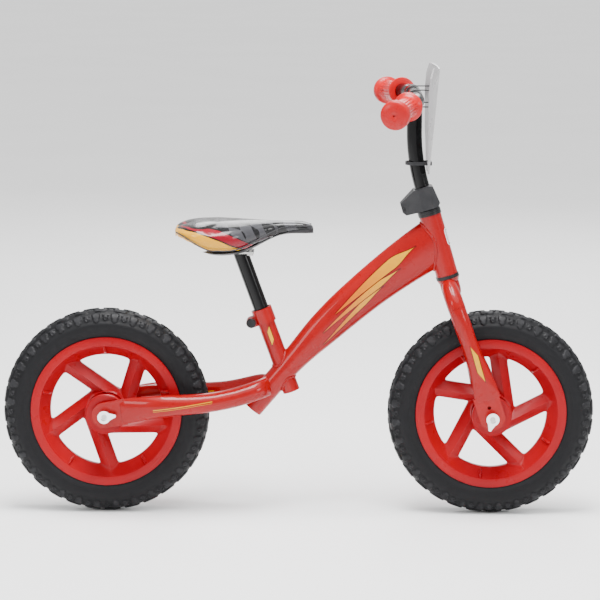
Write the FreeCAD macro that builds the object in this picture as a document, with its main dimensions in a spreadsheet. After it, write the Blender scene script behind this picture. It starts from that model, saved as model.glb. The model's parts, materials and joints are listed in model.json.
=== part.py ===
"""Balance bike for a small child: a welded steel frame on two 12-inch wheels, with no pedals.

+X points to the front of the bike, +Y to its left and +Z up.  The origin is on the ground,
half way between the two wheels.  The right side of the bike is the -Y side.
"""
import FreeCAD
import Part
import Sketcher
import math
import os

os.makedirs("parts", exist_ok=True)
doc = FreeCAD.newDocument("balance_bike")
Vector = FreeCAD.Vector
X_AXIS = Vector(1, 0, 0)
Y_AXIS = Vector(0, 1, 0)
Z_AXIS = Vector(0, 0, 1)
ORIGIN = Vector(0, 0, 0)

# ---------------------------------------------------------------- driving dimensions (mm, degrees)
DIMENSIONS = {
    # wheels
    "wheel_base": 568, "tyre_radius": 152.5, "tyre_width": 50, "tyre_wall": 5,
    "rim_flange_radius": 111.5, "rim_seat_depth": 7, "rim_half_width": 20.8, "rim_flange_wall": 3,
    "rim_skirt_radius": 97, "window_radius": 83.3,
    "window_margin": 0.6, "web_thickness": 8,
    "spoke_count": 5, "spoke_offset": 23.4, "spoke_width": 25.1, "rib_width": 5, "rib_height": 7,
    "rear_wheel_turn": -17, "front_wheel_turn": 9.3,
    "hub_radius": 29.5, "hub_half_length": 39, "hub_lip": 5, "hub_waist_radius": 25,
    "hub_bore_radius": 9, "bearing_radius": 11, "bearing_width": 7,
    "axle_radius": 4, "running_gap": 0.05, "side_gap": 0.4,
    "spacer_radius": 6.5, "dropout_inside": 43, "dropout_thickness": 5,
    "washer_thickness": 2, "washer_radius": 9, "axle_cap_radius": 9.4, "axle_cap_length": 12,
    "axle_cap_tail": 17.7, "axle_cap_tip_radius": 2.5, "axle_cap_bore": 5.2,
    "front_cap_turn": -105, "rear_cap_turn": 8,
    # seat tube, seat post and clamp
    "seat_angle": 20.1, "seat_cross_forward": 109.6, "seat_cross_rise": 59.9,
    "seat_tube_radius": 12.7, "seat_tube_up": 98, "seat_tube_down": 32.5, "seat_slit_length": 22,
    "seat_slit_width": 2, "seat_post_radius": 11.1, "slide_gap": 0.05, "tube_wall": 1.5,
    "seat_post_inside": 80, "collar_radius": 15.4, "collar_height": 22,
    "collar_drop": 1, "lug_reach": 28.2, "lug_radius": 7.5, "lug_half_width": 8.5,
    "clamp_bolt_radius": 3, "clamp_head_radius": 7, "clamp_head_length": 4.5,
    # head tube, fork and headset
    "head_angle": 16.5, "fork_offset": 6, "crown_gap": 64, "head_tube_out": 3.55,
    "head_tube_length": 92.2, "head_tube_wall": 2, "steerer_wall": 1.55,
    "steerer_top": 126, "steerer_bottom": 26, "cup_out": 4.5, "cup_height": 5,
    "cup_skirt": 9, "ball_radius": 1.6, "ball_count": 18, "ball_circle_out": 1.8,
    "crown_race_height": 6, "top_race_height": 6, "top_race_out": 4.5, "race_gap": 0.15,
    "crown_overlap": 2.8, "cup_edge": 1.2, "cup_taper": 0.9, "cup_wall": 1.5, "ball_play": 0.05,
    "race_lip": 0.6, "race_taper": 2, "race_cone": 2.2, "crown_ring": 2.5, "crown_taper": 3,
    "blade_radius": 12.7, "blade_spread": 42, "blade_flat_height": 41,
    "blade_wall": 1.5, "crown_out": 3.8, "crown_length": 20, "eyelet_rise": 15.5,
    "eyelet_radius": 2.6,
    # main tube and stays
    "main_tube_wall": 1.6, "main_tube_width": 33, "main_tube_tail": 72.8, "main_tube_on_head": 52.8,
    "main_tube_bow": 11, "main_tail_over": 1, "main_waist_over": 5, "main_rise_over": 16.5,
    "main_middle_over": 25, "main_head_over": 39,
    "stay_radius": 14.3, "stay_wall": 1.5, "stay_flat_height": 38, "stay_front_drop": 21.5,
    "stay_front_back": 20, "stay_bend_spread": 40, "tyre_side_gap": 12,
    # the stay's stations: spread beside the middle, then rise above the axle, front to back
    "stay_start_spread": 3, "stay_second_spread": 28, "stay_second_rise": 31,
    "stay_bend_rise": 19.5, "stay_straight_rise": 17, "stay_squash_rise": 12.5,
    "stay_tab_rise": 4.5, "stay_second_ahead": 60, "stay_bend_ahead": 5,
    "stay_straight_back": 40, "stay_squash_back": 88, "stay_tab_ahead": 24,
    "stay_tab_reach": 32, "stay_tab_turn": -10,
    # the blade's stations: up from the axle and back from the crown's line, foot to crown
    "blade_foot_up": 26, "blade_foot_back": -6.5, "blade_swell_up": 49,
    "blade_swell_back": -13.5, "blade_swell_height": 34, "blade_round_up": 92,
    "blade_round_back": -29, "blade_tyre_below": 20, "blade_tyre_back": -44,
    "blade_turn_above": 6.5, "blade_turn_back": -53.5, "blade_turn_in": 2.5,
    "blade_neck_above": 24, "blade_neck_back": -60, "blade_neck_in": 11,
    "blade_top_above": 37, "blade_top_back": -64.5, "blade_top_spread": 14,
    "blade_tab_reach": 34, "blade_tilt": 108,
    # handlebar and stem
    "bar_radius": 11.1, "bar_wall": 1.5, "bar_height": 619.2, "bar_bend_radius": 278,
    "bar_post_inside": 85, "bar_bend_start": 138, "bar_middle": 80, "bar_bend": 16.3,
    "bar_turn_radius": 60, "bar_sweep_tilt": 14, "bar_half_length": 209,
    "grip_inner": 128, "grip_length": 81,
    "grip_wall": 3.5, "grip_flange_out": 9.7, "grip_flange": 6,
    "stem_ring_out": 3.3, "stem_ring_height": 18, "stem_cover_bottom": 102,
    "stem_cover_top": 135.5, "stem_cover_behind": 21.5, "stem_cover_ahead": 3,
    "stem_cover_side": 4, "stem_bolt_radius": 2.5, "stem_lug_behind": 11,
    # number plate
    "plate_radius": 156, "plate_thickness": 2, "plate_lean": 4.9, "plate_forward": 19,
    "plate_bottom": 508, "plate_top": 664, "plate_top_half": 64, "plate_low_half": 30,
    "tie_thickness": 1.4, "tie_play": 0.3, "tie_width": 4.8, "tie_spread": 36, "tie_low_rise": 14,
    # saddle
    "saddle_length": 207, "saddle_behind": 98.4, "saddle_top": 436.5, "saddle_half_width": 66,
    "nose_half_width": 17, "skirt_low": 386, "skirt_nose": 416, "skirt_rear": 410,
    "cover_thickness": 1.6, "base_thickness": 3, "base_rise": 9, "base_rim": 9,
    "saddle_gap": 0.2, "saddle_beyond": 30, "saddle_widest": 0.35, "saddle_waist": 0.78,
    "saddle_tail_share": 0.22, "saddle_tip_share": 0.12, "saddle_side": 0.55, "saddle_dome": 0.7,
    "bracket_length": 56, "bracket_behind": 36, "bracket_width": 38, "bracket_thickness": 3,
    "bracket_gap": 0.3, "screw_radius": 2.5,
}

dims = doc.addObject("Spreadsheet::Sheet", "dims")
for row, (alias, number) in enumerate(DIMENSIONS.items(), start=1):
    dims.set(f"A{row}", str(number))
    dims.setAlias(f"A{row}", alias)
doc.recompute()

# Derived places live in one set of expressions, so that each is worked out once.
layout = doc.addObject("App::VarSet", "layout")
LAYOUT = {
    "axle_height": "dims.tyre_radius",
    "steerer_radius": "dims.bar_radius + dims.slide_gap + dims.steerer_wall",
    "ball_circle": "layout.steerer_radius + dims.ball_circle_out",
    "cup_radius": "layout.steerer_radius + dims.cup_out",
    "top_race_radius": "layout.steerer_radius + dims.top_race_out",
    "head_tube_radius": "layout.steerer_radius + dims.head_tube_out",
    "crown_radius": "layout.steerer_radius + dims.crown_out",
    "stem_ring_radius": "layout.steerer_radius + dims.stem_ring_out",
    "stem_cover_half_width": "layout.stem_ring_radius + dims.stem_cover_side",
    "stem_cover_front": "layout.stem_ring_radius + dims.stem_cover_ahead",
    "stem_cover_rear": "layout.stem_ring_radius + dims.stem_cover_behind",
    "stem_lug_reach": "layout.stem_ring_radius + dims.stem_lug_behind",
    "grip_radius": "dims.bar_radius + dims.grip_wall",
    "main_height_tail": "dims.main_tube_width + dims.main_tail_over",
    "main_height_waist": "dims.main_tube_width + dims.main_waist_over",
    "main_height_rise": "dims.main_tube_width + dims.main_rise_over",
    "main_height_middle": "dims.main_tube_width + dims.main_middle_over",
    "main_height_head": "dims.main_tube_width + dims.main_head_over",
    "grip_flange_radius": "dims.bar_radius + dims.grip_flange_out",
    "front_x": "dims.wheel_base / 2",
    "rear_x": "-dims.wheel_base / 2",
    "dropout_outside": "dims.dropout_inside + dims.dropout_thickness",
    "head_sin": "sin(dims.head_angle * 1 deg)",
    "head_cos": "cos(dims.head_angle * 1 deg)",
    "head_rise": "dims.tyre_radius + dims.crown_gap - dims.crown_overlap",
    "head_x": "layout.front_x - dims.fork_offset / layout.head_cos"
              " - layout.head_rise * layout.head_sin",
    "head_z": "layout.axle_height + layout.head_rise * layout.head_cos",
    "seat_sin": "sin(dims.seat_angle * 1 deg)",
    "seat_cos": "cos(dims.seat_angle * 1 deg)",
    "seat_x": "layout.rear_x + dims.tyre_radius + dims.seat_cross_forward",
    "seat_z": "layout.axle_height + dims.seat_cross_rise",
    "join_x": "layout.head_x - dims.main_tube_on_head * layout.head_sin",
    "join_z": "layout.head_z + dims.main_tube_on_head * layout.head_cos",
    "main_length": "sqrt((layout.join_x - layout.seat_x)^2 + (layout.join_z - layout.seat_z)^2)",
    "main_slope": "atan2(layout.join_z - layout.seat_z; layout.join_x - layout.seat_x) / 1 deg",
    "bearing_inside": "dims.hub_half_length - dims.bearing_width",
    "bracket_low": "dims.skirt_low + dims.base_rise - dims.base_thickness"
                   " - dims.bracket_thickness - dims.bracket_gap",
    "post_up": "(layout.bracket_low - layout.seat_z) / layout.seat_cos",
    "bracket_x": "layout.seat_x - layout.post_up * layout.seat_sin",
    "saddle_rear": "layout.bracket_x - dims.saddle_behind",
}
for name in LAYOUT:
    layout.addProperty("App::PropertyFloat", name, "Layout")
for name, rule in LAYOUT.items():
    layout.setExpression(name, rule)
doc.recompute()


def value(rule):
    """The number that an expression over dims and layout gives."""
    result = dims.evalExpression(str(rule))
    return float(getattr(result, "Value", result))


def bind(target, **rules):
    """Bind properties to expressions; a double underscore stands for the dot of a path."""
    for name, rule in rules.items():
        target.setExpression(name.replace("__", "."), str(rule))


def place(target, at=("0", "0", "0"), axis=Z_AXIS, angle="0"):
    """Bind a piece's position, and its turn by an angle about a fixed axis."""
    target.Placement = FreeCAD.Placement(ORIGIN, FreeCAD.Rotation(axis, value(angle) or 1e-9))
    bind(target, Placement__Base__x=at[0], Placement__Base__y=at[1], Placement__Base__z=at[2])
    if str(angle) != "0":
        bind(target, Placement__Rotation__Angle=f"({angle}) * 1 deg")
    return target


PIECES = []


def piece(target, label):
    """Name an object as one finished sub-part of the bike."""
    target.Label = label
    PIECES.append(target)
    return target


def cylinder(radius, length, at=("0", "0", "0"), axis=Z_AXIS, angle="0"):
    """A plain cylinder along its own Z."""
    solid = doc.addObject("Part::Cylinder", "cylinder")
    bind(solid, Radius=radius, Height=length)
    return place(solid, at, axis, angle)


def box(size, at=("0", "0", "0"), axis=Z_AXIS, angle="0"):
    """A box from its low corner."""
    solid = doc.addObject("Part::Box", "box")
    bind(solid, Length=size[0], Width=size[1], Height=size[2])
    return place(solid, at, axis, angle)


def cut(base, *tools):
    """The base with every tool taken away, one after the other."""
    for tool in tools:
        result = doc.addObject("Part::Cut", "cut")
        result.Base = base
        result.Tool = tool
        base = result
    return base


def fuse(*solids):
    """Several touching solids made one."""
    result = doc.addObject("Part::MultiFuse", "fuse")
    result.Shapes = list(solids)
    result.Refine = True
    return result


def common(first, second):
    """What two solids share."""
    result = doc.addObject("Part::Common", "common")
    result.Base = first
    result.Tool = second
    return result


def group(solids):
    """Separate solids that share one node."""
    result = doc.addObject("Part::Compound", "group")
    result.Links = list(solids)
    return result


def mirrored(source, normal=Y_AXIS):
    """The mirror image of a solid in the bike's middle plane."""
    result = doc.addObject("Part::Mirroring", "mirror")
    result.Source = source
    result.Normal = normal
    return result


def outline(body, plane, points):
    """A closed straight-sided sketch whose corners are bound to pairs of expressions."""
    sketch = body.newObject("Sketcher::SketchObject", "outline")
    support = [item for item in body.Origin.OriginFeatures if item.Role == plane][0]
    sketch.AttachmentSupport = [(support, "")]
    sketch.MapMode = "FlatFace"
    corners = [Vector(value(across), value(up), 0) for across, up in points]
    for start, end in zip(corners, corners[1:] + corners[:1]):
        sketch.addGeometry(Part.LineSegment(start, end), False)
    for side, (across, up) in enumerate(points):
        following = (side + 1) % len(points)
        sketch.addConstraint(Sketcher.Constraint("Coincident", side, 2, following, 1))
        for kind, rule in (("DistanceX", across), ("DistanceY", up)):
            constraint = Sketcher.Constraint(kind, -1, 1, side, 1, value(rule))
            sketch.setExpression(f"Constraints[{sketch.addConstraint(constraint)}]", str(rule))
    return sketch


def turned(points, at=("0", "0", "0"), axis=Z_AXIS, angle="0"):
    """A body turned about its own Z from an outline of (radius, height) pairs."""
    body = doc.addObject("PartDesign::Body", "turned")
    sketch = outline(body, "XZ_Plane", points)
    spin = body.newObject("PartDesign::Revolution", "spin")
    spin.Profile = sketch
    spin.ReferenceAxis = (sketch, ["V_Axis"])
    spin.Angle = 360
    sketch.Visibility = False
    return place(body, at, axis, angle)


def padded(plane, points, length, at=("0", "0", "0"), axis=Z_AXIS, angle="0", both_ways=True):
    """A body padded from a straight-sided outline."""
    body = doc.addObject("PartDesign::Body", "padded")
    pad = body.newObject("PartDesign::Pad", "pad")
    pad.Profile = outline(body, plane, points)
    pad.Midplane = both_ways
    bind(pad, Length=length)
    return place(body, at, axis, angle)


def ring(outer, inner, length, at=("0", "0", "0"), axis=Z_AXIS, angle="0", start="0"):
    """A plain ring or tube along its own Z."""
    end = f"({start}) + ({length})"
    return turned([(inner, start), (outer, start), (outer, end), (inner, end)], at, axis, angle)


def oval(height, width, at, tilt):
    """An oval loft section: its height in the bike's middle plane, its normal at a tilt above +X."""
    tall = value(height) >= value(width)
    section = doc.addObject("Part::Ellipse", "oval")
    bind(section, MajorRadius=f"({height if tall else width}) / 2")
    bind(section, MinorRadius=f"({width if tall else height}) / 2")
    turn = FreeCAD.Rotation(Y_AXIS, 90 - value(tilt))
    if not tall:
        turn = turn.multiply(FreeCAD.Rotation(Z_AXIS, 90))
    section.Placement = FreeCAD.Placement(ORIGIN, turn)
    bind(section, Placement__Base__x=at[0], Placement__Base__y=at[1], Placement__Base__z=at[2])
    return section


def loft(sections):
    """A smooth solid through its sections."""
    solid = doc.addObject("Part::Loft", "loft")
    solid.Sections = sections
    solid.Solid = True
    solid.Ruled = False
    return solid


def oval_tube(stations, wall):
    """A hollow tube and its filled outside, from (height, width, place, tilt) stations."""
    outside = loft([oval(*station) for station in stations])
    inside = loft([oval(f"({high}) - 2 * {wall}", f"({wide}) - 2 * {wall}", at, tilt)
                   for high, wide, at, tilt in stations])
    return cut(outside, inside), outside


# ---------------------------------------------------------------- frames of reference
WHEELS = {
    "front": ("layout.front_x", "0", "layout.axle_height"),
    "rear": ("layout.rear_x", "0", "layout.axle_height"),
}
HEAD = ("layout.head_x", "0", "layout.head_z")
SEAT = ("layout.seat_x", "0", "layout.seat_z")


def on_axle(wheel, across="0"):
    """A place on an axle, a distance to the left of the middle plane."""
    return WHEELS[wheel][0], across, WHEELS[wheel][2]


def across_bike(wheel, across="0"):
    """The place and turn that put a body's own Z along +Y on an axle."""
    return {"at": on_axle(wheel, across), "axis": X_AXIS, "angle": "-90"}


def on_head(up="0", forward="0", across="0"):
    """A place measured up the steering axis from the bottom of the head tube."""
    return (f"layout.head_x - ({up}) * layout.head_sin + ({forward}) * layout.head_cos", across,
            f"layout.head_z + ({up}) * layout.head_cos + ({forward}) * layout.head_sin")


def along_head(up="0", forward="0", across="0"):
    """The place and turn that put a body's own Z up the steering axis."""
    return {"at": on_head(up, forward, across), "axis": Y_AXIS, "angle": "-dims.head_angle"}


def on_seat(up="0", forward="0", across="0"):
    """A place measured up the seat axis from where it crosses the main tube."""
    return (f"layout.seat_x - ({up}) * layout.seat_sin + ({forward}) * layout.seat_cos", across,
            f"layout.seat_z + ({up}) * layout.seat_cos + ({forward}) * layout.seat_sin")


def along_seat(up="0", forward="0", across="0"):
    """The place and turn that put a body's own Z up the seat axis."""
    return {"at": on_seat(up, forward, across), "axis": Y_AXIS, "angle": "-dims.seat_angle"}


# ---------------------------------------------------------------- frame: head, seat and main tubes
HEAD_BORE = "layout.head_tube_radius - dims.head_tube_wall"
head_tube = piece(ring("layout.head_tube_radius", HEAD_BORE, "dims.head_tube_length",
                       **along_head()), "head_tube")
head_fill = cylinder("layout.head_tube_radius", "dims.head_tube_length", **along_head())

SEAT_BORE = "dims.seat_post_radius + dims.slide_gap"
SEAT_TUBE_LENGTH = "dims.seat_tube_up + dims.seat_tube_down"
seat_tube_blank = ring("dims.seat_tube_radius", SEAT_BORE, SEAT_TUBE_LENGTH,
                       **along_seat("-dims.seat_tube_down"))
seat_slit = box(("3 * dims.seat_tube_radius", "dims.seat_slit_width", "2 * dims.seat_slit_length"),
                **along_seat("dims.seat_tube_up - dims.seat_slit_length",
                             "-3 * dims.seat_tube_radius", "-dims.seat_slit_width / 2"))
seat_tube = piece(cut(seat_tube_blank, seat_slit), "seat_tube")
seat_fill = cylinder("dims.seat_tube_radius", SEAT_TUBE_LENGTH,
                     **along_seat("-dims.seat_tube_down"))


def main_station(share, height):
    """A section of the main tube, a share of the way from the seat tube to the head tube.

    The centre line is a parabola that rises main_tube_bow above the straight line.
    """
    rise = f"4 * dims.main_tube_bow * {share} * (1 - {share})"
    run = f"layout.main_length * {share}"
    slope = "layout.main_slope * 1 deg"
    centre = (f"layout.seat_x + {run} * cos({slope}) - {rise} * sin({slope})", "0",
              f"layout.seat_z + {run} * sin({slope}) + {rise} * cos({slope})")
    lean = 4 * value("dims.main_tube_bow") * (1 - 2 * share) / value("layout.main_length")
    tilt = value("layout.main_slope") + math.degrees(math.atan(lean))
    return height, "dims.main_tube_width", centre, tilt


lower = main_station(0, "layout.main_height_tail")
tail_tilt = lower[3]
tail_end = (f"layout.seat_x - dims.main_tube_tail * {math.cos(math.radians(tail_tilt))}", "0",
            f"layout.seat_z - dims.main_tube_tail * {math.sin(math.radians(tail_tilt))}")
main_stations = [
    ("layout.main_height_tail", "dims.main_tube_width", tail_end, tail_tilt),
    lower,
    main_station(0.11, "layout.main_height_waist"),
    main_station(0.28, "layout.main_height_rise"),
    main_station(0.58, "layout.main_height_middle"),
    main_station(1, "layout.main_height_head"),
]
main_hollow, main_fill = oval_tube(main_stations, "dims.main_tube_wall")
main_tube = piece(cut(main_hollow, head_fill, seat_fill), "main_tube")

# The plug closes the open lower end of the main tube.
plug_depth = 6
plug_start = (f"{tail_end[0]} + {plug_depth * math.cos(math.radians(tail_tilt))}", "0",
              f"{tail_end[2]} + {plug_depth * math.sin(math.radians(tail_tilt))}")
plug_size = ("layout.main_height_tail - 2 * dims.main_tube_wall",
             "dims.main_tube_width - 2 * dims.main_tube_wall")
main_inside = loft([oval(*plug_size, tail_end, tail_tilt), oval(*plug_size, plug_start, tail_tilt)])
main_tube_end_plug = piece(common(main_inside, loft(
    [oval(f"{high} - 2 * dims.main_tube_wall", f"{wide} - 2 * dims.main_tube_wall", at, tilt)
     for high, wide, at, tilt in main_stations])), "main_tube_end_plug")

# ---------------------------------------------------------------- frame: stays with flat ends
STAY_OUT = "dims.dropout_inside + dims.dropout_thickness / 2"
STAY_AXLE = ("layout.rear_x", STAY_OUT, "layout.axle_height")
STAY_FRONT_X = "layout.seat_x - dims.stay_front_back"
STAY_FRONT_Z = "layout.seat_z - dims.stay_front_drop"
BEND_X = "layout.rear_x + dims.tyre_radius"
STAY_WIDE = "2 * dims.stay_radius"
BESIDE_TYRE = "dims.tyre_width / 2 + dims.tyre_side_gap + dims.stay_radius"
# Each station: height, width, (x, y, z), tilt of the section's normal above +X.
stay_stations = [
    (STAY_WIDE, STAY_WIDE, (STAY_FRONT_X, "dims.stay_start_spread", STAY_FRONT_Z), 16),
    (STAY_WIDE, STAY_WIDE, (f"{BEND_X} + dims.stay_second_ahead", "dims.stay_second_spread",
                            "layout.axle_height + dims.stay_second_rise"), 14),
    (STAY_WIDE, STAY_WIDE, (f"{BEND_X} + dims.stay_bend_ahead", "dims.stay_bend_spread",
                            "layout.axle_height + dims.stay_bend_rise"), 8),
    (f"{STAY_WIDE} + 2", f"{STAY_WIDE} - 2",
     (f"{BEND_X} - dims.stay_straight_back", BESIDE_TYRE,
      "layout.axle_height + dims.stay_straight_rise"), 7),
    (f"{STAY_WIDE} + 6", f"{STAY_WIDE} - 7.5",
     (f"{BEND_X} - dims.stay_squash_back", BESIDE_TYRE,
      "layout.axle_height + dims.stay_squash_rise"), 8),
    ("dims.stay_flat_height", "dims.dropout_thickness + 2",
     ("layout.rear_x + dims.stay_tab_ahead", STAY_OUT,
      "layout.axle_height + dims.stay_tab_rise"), 9),
]
stay_hollow, stay_fill = oval_tube(stay_stations, "dims.stay_wall")


def dropout(at, height, reach, angle):
    """A flat tab across the axle: a round end and a straight part that runs to the tube."""
    start = f"{at[1]} - dims.dropout_thickness / 2"
    round_end = cylinder(f"({height}) / 2", "dims.dropout_thickness", (at[0], start, at[2]),
                         X_AXIS, "-90")
    flat = box((reach, "dims.dropout_thickness", height), (at[0], start, at[2]), Y_AXIS, angle)
    shift = f"({height}) / 2"
    turn = f"({angle}) * 1 deg"
    bind(flat, Placement__Base__x=f"{at[0]} - {shift} * sin({turn})",
         Placement__Base__z=f"{at[2]} - {shift} * cos({turn})")
    return fuse(round_end, flat)


axle_hole = {wheel: cylinder("dims.axle_radius", "4 * dims.dropout_inside",
                             **across_bike(wheel, "-2 * dims.dropout_inside"))
             for wheel in WHEELS}
stay_tab = dropout(STAY_AXLE, "dims.stay_flat_height", "dims.stay_tab_reach", "dims.stay_tab_turn")
right_side = box(("2 * dims.wheel_base", "dims.wheel_base", "2 * dims.wheel_base"),
                 ("-dims.wheel_base", "-dims.wheel_base", "0"))
chainstay_left = cut(fuse(cut(stay_hollow, main_fill), stay_tab), main_fill, right_side,
                     axle_hole["rear"])
piece(chainstay_left, "chainstay_left")
piece(mirrored(chainstay_left), "chainstay_right")

# ---------------------------------------------------------------- frame: seat clamp
CLAMP_LOW = "dims.seat_tube_up + dims.collar_drop - dims.collar_height"
CLAMP_BOLT = f"{CLAMP_LOW} + dims.collar_height / 3"
lug_block = box(("dims.lug_reach - dims.lug_radius", "2 * dims.lug_half_width",
                 "2 * dims.lug_radius"),
                **along_seat(f"{CLAMP_BOLT} - dims.lug_radius",
                             "dims.lug_radius - dims.lug_reach", "-dims.lug_half_width"))
lug_end = cylinder("dims.lug_radius", "2 * dims.lug_half_width",
                   on_seat(CLAMP_BOLT, "dims.lug_radius - dims.lug_reach", "-dims.lug_half_width"),
                   X_AXIS, "-90")
collar_blank = ring("dims.collar_radius", "dims.seat_tube_radius", "dims.collar_height",
                    **along_seat(CLAMP_LOW))
collar_inside = cylinder("dims.seat_tube_radius", "3 * dims.collar_height",
                         **along_seat(f"{CLAMP_LOW} - dims.collar_height"))
collar_slit = box(("3 * dims.collar_radius", "dims.seat_slit_width", "3 * dims.collar_height"),
                  **along_seat(f"{CLAMP_LOW} - dims.collar_height",
                               "-3 * dims.collar_radius - dims.seat_tube_radius / 2",
                               "-dims.seat_slit_width / 2"))
CLAMP_BOLT_AT = on_seat(CLAMP_BOLT, "dims.lug_radius - dims.lug_reach", "-3 * dims.lug_half_width")
clamp_hole = cylinder("dims.clamp_bolt_radius", "6 * dims.lug_half_width", CLAMP_BOLT_AT,
                      X_AXIS, "-90")
piece(cut(fuse(collar_blank, lug_block, lug_end), collar_inside, collar_slit, clamp_hole),
      "seat_clamp_collar")
CLAMP_HEAD = "dims.lug_half_width + dims.clamp_head_length"
seat_clamp_bolt = turned([
    ("0", f"-({CLAMP_HEAD})"), ("dims.clamp_head_radius - 1", f"-({CLAMP_HEAD})"),
    ("dims.clamp_head_radius", f"1 - ({CLAMP_HEAD})"),
    ("dims.clamp_head_radius", "-dims.lug_half_width"),
    ("dims.clamp_bolt_radius", "-dims.lug_half_width"),
    ("dims.clamp_bolt_radius", f"{CLAMP_HEAD}"), ("0", f"{CLAMP_HEAD}")],
    on_seat(CLAMP_BOLT, "dims.lug_radius - dims.lug_reach"), X_AXIS, "-90")
piece(seat_clamp_bolt, "seat_clamp_bolt")
piece(ring("dims.clamp_head_radius - 1", "dims.clamp_bolt_radius", "dims.clamp_head_length",
           on_seat(CLAMP_BOLT, "dims.lug_radius - dims.lug_reach", "dims.lug_half_width"),
           X_AXIS, "-90"), "seat_clamp_nut")

# ---------------------------------------------------------------- headset
HEAD_TOP = "dims.head_tube_length"


def cup(sign, base):
    """A pressed cup: a skirt in the head tube, a lip on its end and a seat for the balls."""
    def level(depth):
        return f"({base}) + ({sign}) * ({depth})"
    return turned([
        (f"{HEAD_BORE} - dims.cup_wall", level("-dims.cup_skirt")), (HEAD_BORE, level("-dims.cup_skirt")),
        (HEAD_BORE, level("0")), ("layout.cup_radius", level("0")),
        ("layout.cup_radius", level("dims.cup_height")),
        ("layout.cup_radius - dims.cup_taper", level("dims.cup_height")),
        ("layout.cup_radius - dims.cup_taper", level("dims.cup_edge")),
        (f"{HEAD_BORE} - dims.cup_wall", level("dims.cup_edge"))], **along_head())


piece(cup("-1", "0"), "headset_lower_cup")
piece(cup("1", HEAD_TOP), "headset_upper_cup")


def balls(up):
    """A ring of separate bearing balls round the steering axis."""
    solids = []
    for index in range(int(value("dims.ball_count"))):
        turn = f"{index} * 360 deg / dims.ball_count"
        ball = doc.addObject("Part::Sphere", "ball")
        bind(ball, Radius="dims.ball_radius - dims.ball_play")
        reach = "layout.ball_circle"
        solids.append(place(ball, on_head(up, f"{reach} * cos({turn})", f"{reach} * sin({turn})")))
    return group(solids)


BALL_LEVEL = "dims.cup_edge + dims.ball_radius"
piece(balls(f"-({BALL_LEVEL})"), "lower_bearing_balls")
piece(balls(f"{HEAD_TOP} + {BALL_LEVEL}"), "upper_bearing_balls")
RACE_LEVEL = f"{BALL_LEVEL} + dims.ball_radius + dims.race_gap"
RACE_FACE = f"({RACE_LEVEL}) + dims.race_lip"
piece(turned([
    ("layout.steerer_radius", f"-({RACE_FACE})"),
    ("layout.cup_radius", f"-({RACE_FACE})"),
    ("layout.steerer_radius + dims.race_taper", f"-({RACE_FACE}) - dims.crown_race_height"),
    ("layout.steerer_radius", f"-({RACE_FACE}) - dims.crown_race_height")],
    **along_head()), "crown_race")
NUT_TOP = f"{HEAD_TOP} + {RACE_FACE} + dims.top_race_height - dims.race_cone"
piece(turned([
    ("layout.steerer_radius", f"{HEAD_TOP} + {RACE_FACE}"),
    ("layout.top_race_radius", f"{HEAD_TOP} + {RACE_FACE}"),
    ("layout.top_race_radius", f"{HEAD_TOP} + {RACE_FACE} + dims.top_race_height / 2"),
    ("layout.top_race_radius - dims.race_taper", NUT_TOP),
    ("layout.steerer_radius", NUT_TOP)], **along_head()), "headset_top_nut")

# ---------------------------------------------------------------- fork
STEERER_BORE = "dims.bar_radius + dims.slide_gap"
STEERER_LENGTH = "dims.steerer_top + dims.steerer_bottom"
steerer_tube = piece(ring("layout.steerer_radius", STEERER_BORE, STEERER_LENGTH,
                          **along_head("-dims.steerer_bottom")), "steerer_tube")
CROWN_TOP = f"({RACE_FACE}) + dims.crown_race_height"
CROWN_LOW = f"-({CROWN_TOP}) - dims.crown_length"
fork_crown = turned([
    ("layout.steerer_radius", f"-({CROWN_TOP})"),
    ("layout.steerer_radius + dims.race_taper", f"-({CROWN_TOP})"),
    ("layout.crown_radius", f"-({CROWN_TOP}) - dims.crown_ring"),
    ("layout.crown_radius", f"{CROWN_LOW} + dims.crown_taper"),
    ("layout.crown_radius - dims.crown_taper", CROWN_LOW), ("layout.steerer_radius", CROWN_LOW)],
    **along_head())
piece(fork_crown, "fork_crown")
crown_fill = cylinder("layout.crown_radius", f"{CROWN_TOP} + dims.crown_length - 0.01",
                      **along_head(CROWN_LOW))
BLADE_WIDE = "2 * dims.blade_radius"
BLADE_OUT = "dims.dropout_inside + dims.dropout_thickness / 2"


def blade_station(height, width, up, forward, across):
    """A section of the left fork blade; up and forward are taken from the front axle."""
    at = (f"layout.front_x + {forward}", across, f"layout.axle_height + {up}")
    return height, width, at, value("dims.blade_tilt")


BLADE_FOOT = "dims.blade_flat_height - 3"
OVER_TYRE = "dims.tyre_radius"
blade_stations = [
    blade_station(BLADE_FOOT, "dims.dropout_thickness + 2", "dims.blade_foot_up",
                  "dims.blade_foot_back", BLADE_OUT),
    blade_station("dims.blade_swell_height", "dims.dropout_thickness + 10.5",
                  "dims.blade_swell_up", "dims.blade_swell_back", BLADE_OUT),
    blade_station(BLADE_WIDE, BLADE_WIDE, "dims.blade_round_up", "dims.blade_round_back",
                  "dims.blade_spread"),
    blade_station(BLADE_WIDE, BLADE_WIDE, f"{OVER_TYRE} - dims.blade_tyre_below",
                  "dims.blade_tyre_back", "dims.blade_spread"),
    blade_station(BLADE_WIDE, BLADE_WIDE, f"{OVER_TYRE} + dims.blade_turn_above",
                  "dims.blade_turn_back", "dims.blade_spread - dims.blade_turn_in"),
    blade_station(BLADE_WIDE, BLADE_WIDE, f"{OVER_TYRE} + dims.blade_neck_above",
                  "dims.blade_neck_back", "dims.blade_spread - dims.blade_neck_in"),
    blade_station("22", "20", f"{OVER_TYRE} + dims.blade_top_above", "dims.blade_top_back",
                  "dims.blade_top_spread"),
]
blade_hollow, blade_fill = oval_tube(blade_stations, "dims.blade_wall")
BLADE_AXLE = ("layout.front_x", BLADE_OUT, "layout.axle_height")
blade_tab = dropout(BLADE_AXLE, BLADE_FOOT, "dims.blade_tab_reach", "-dims.blade_tilt")
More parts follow.
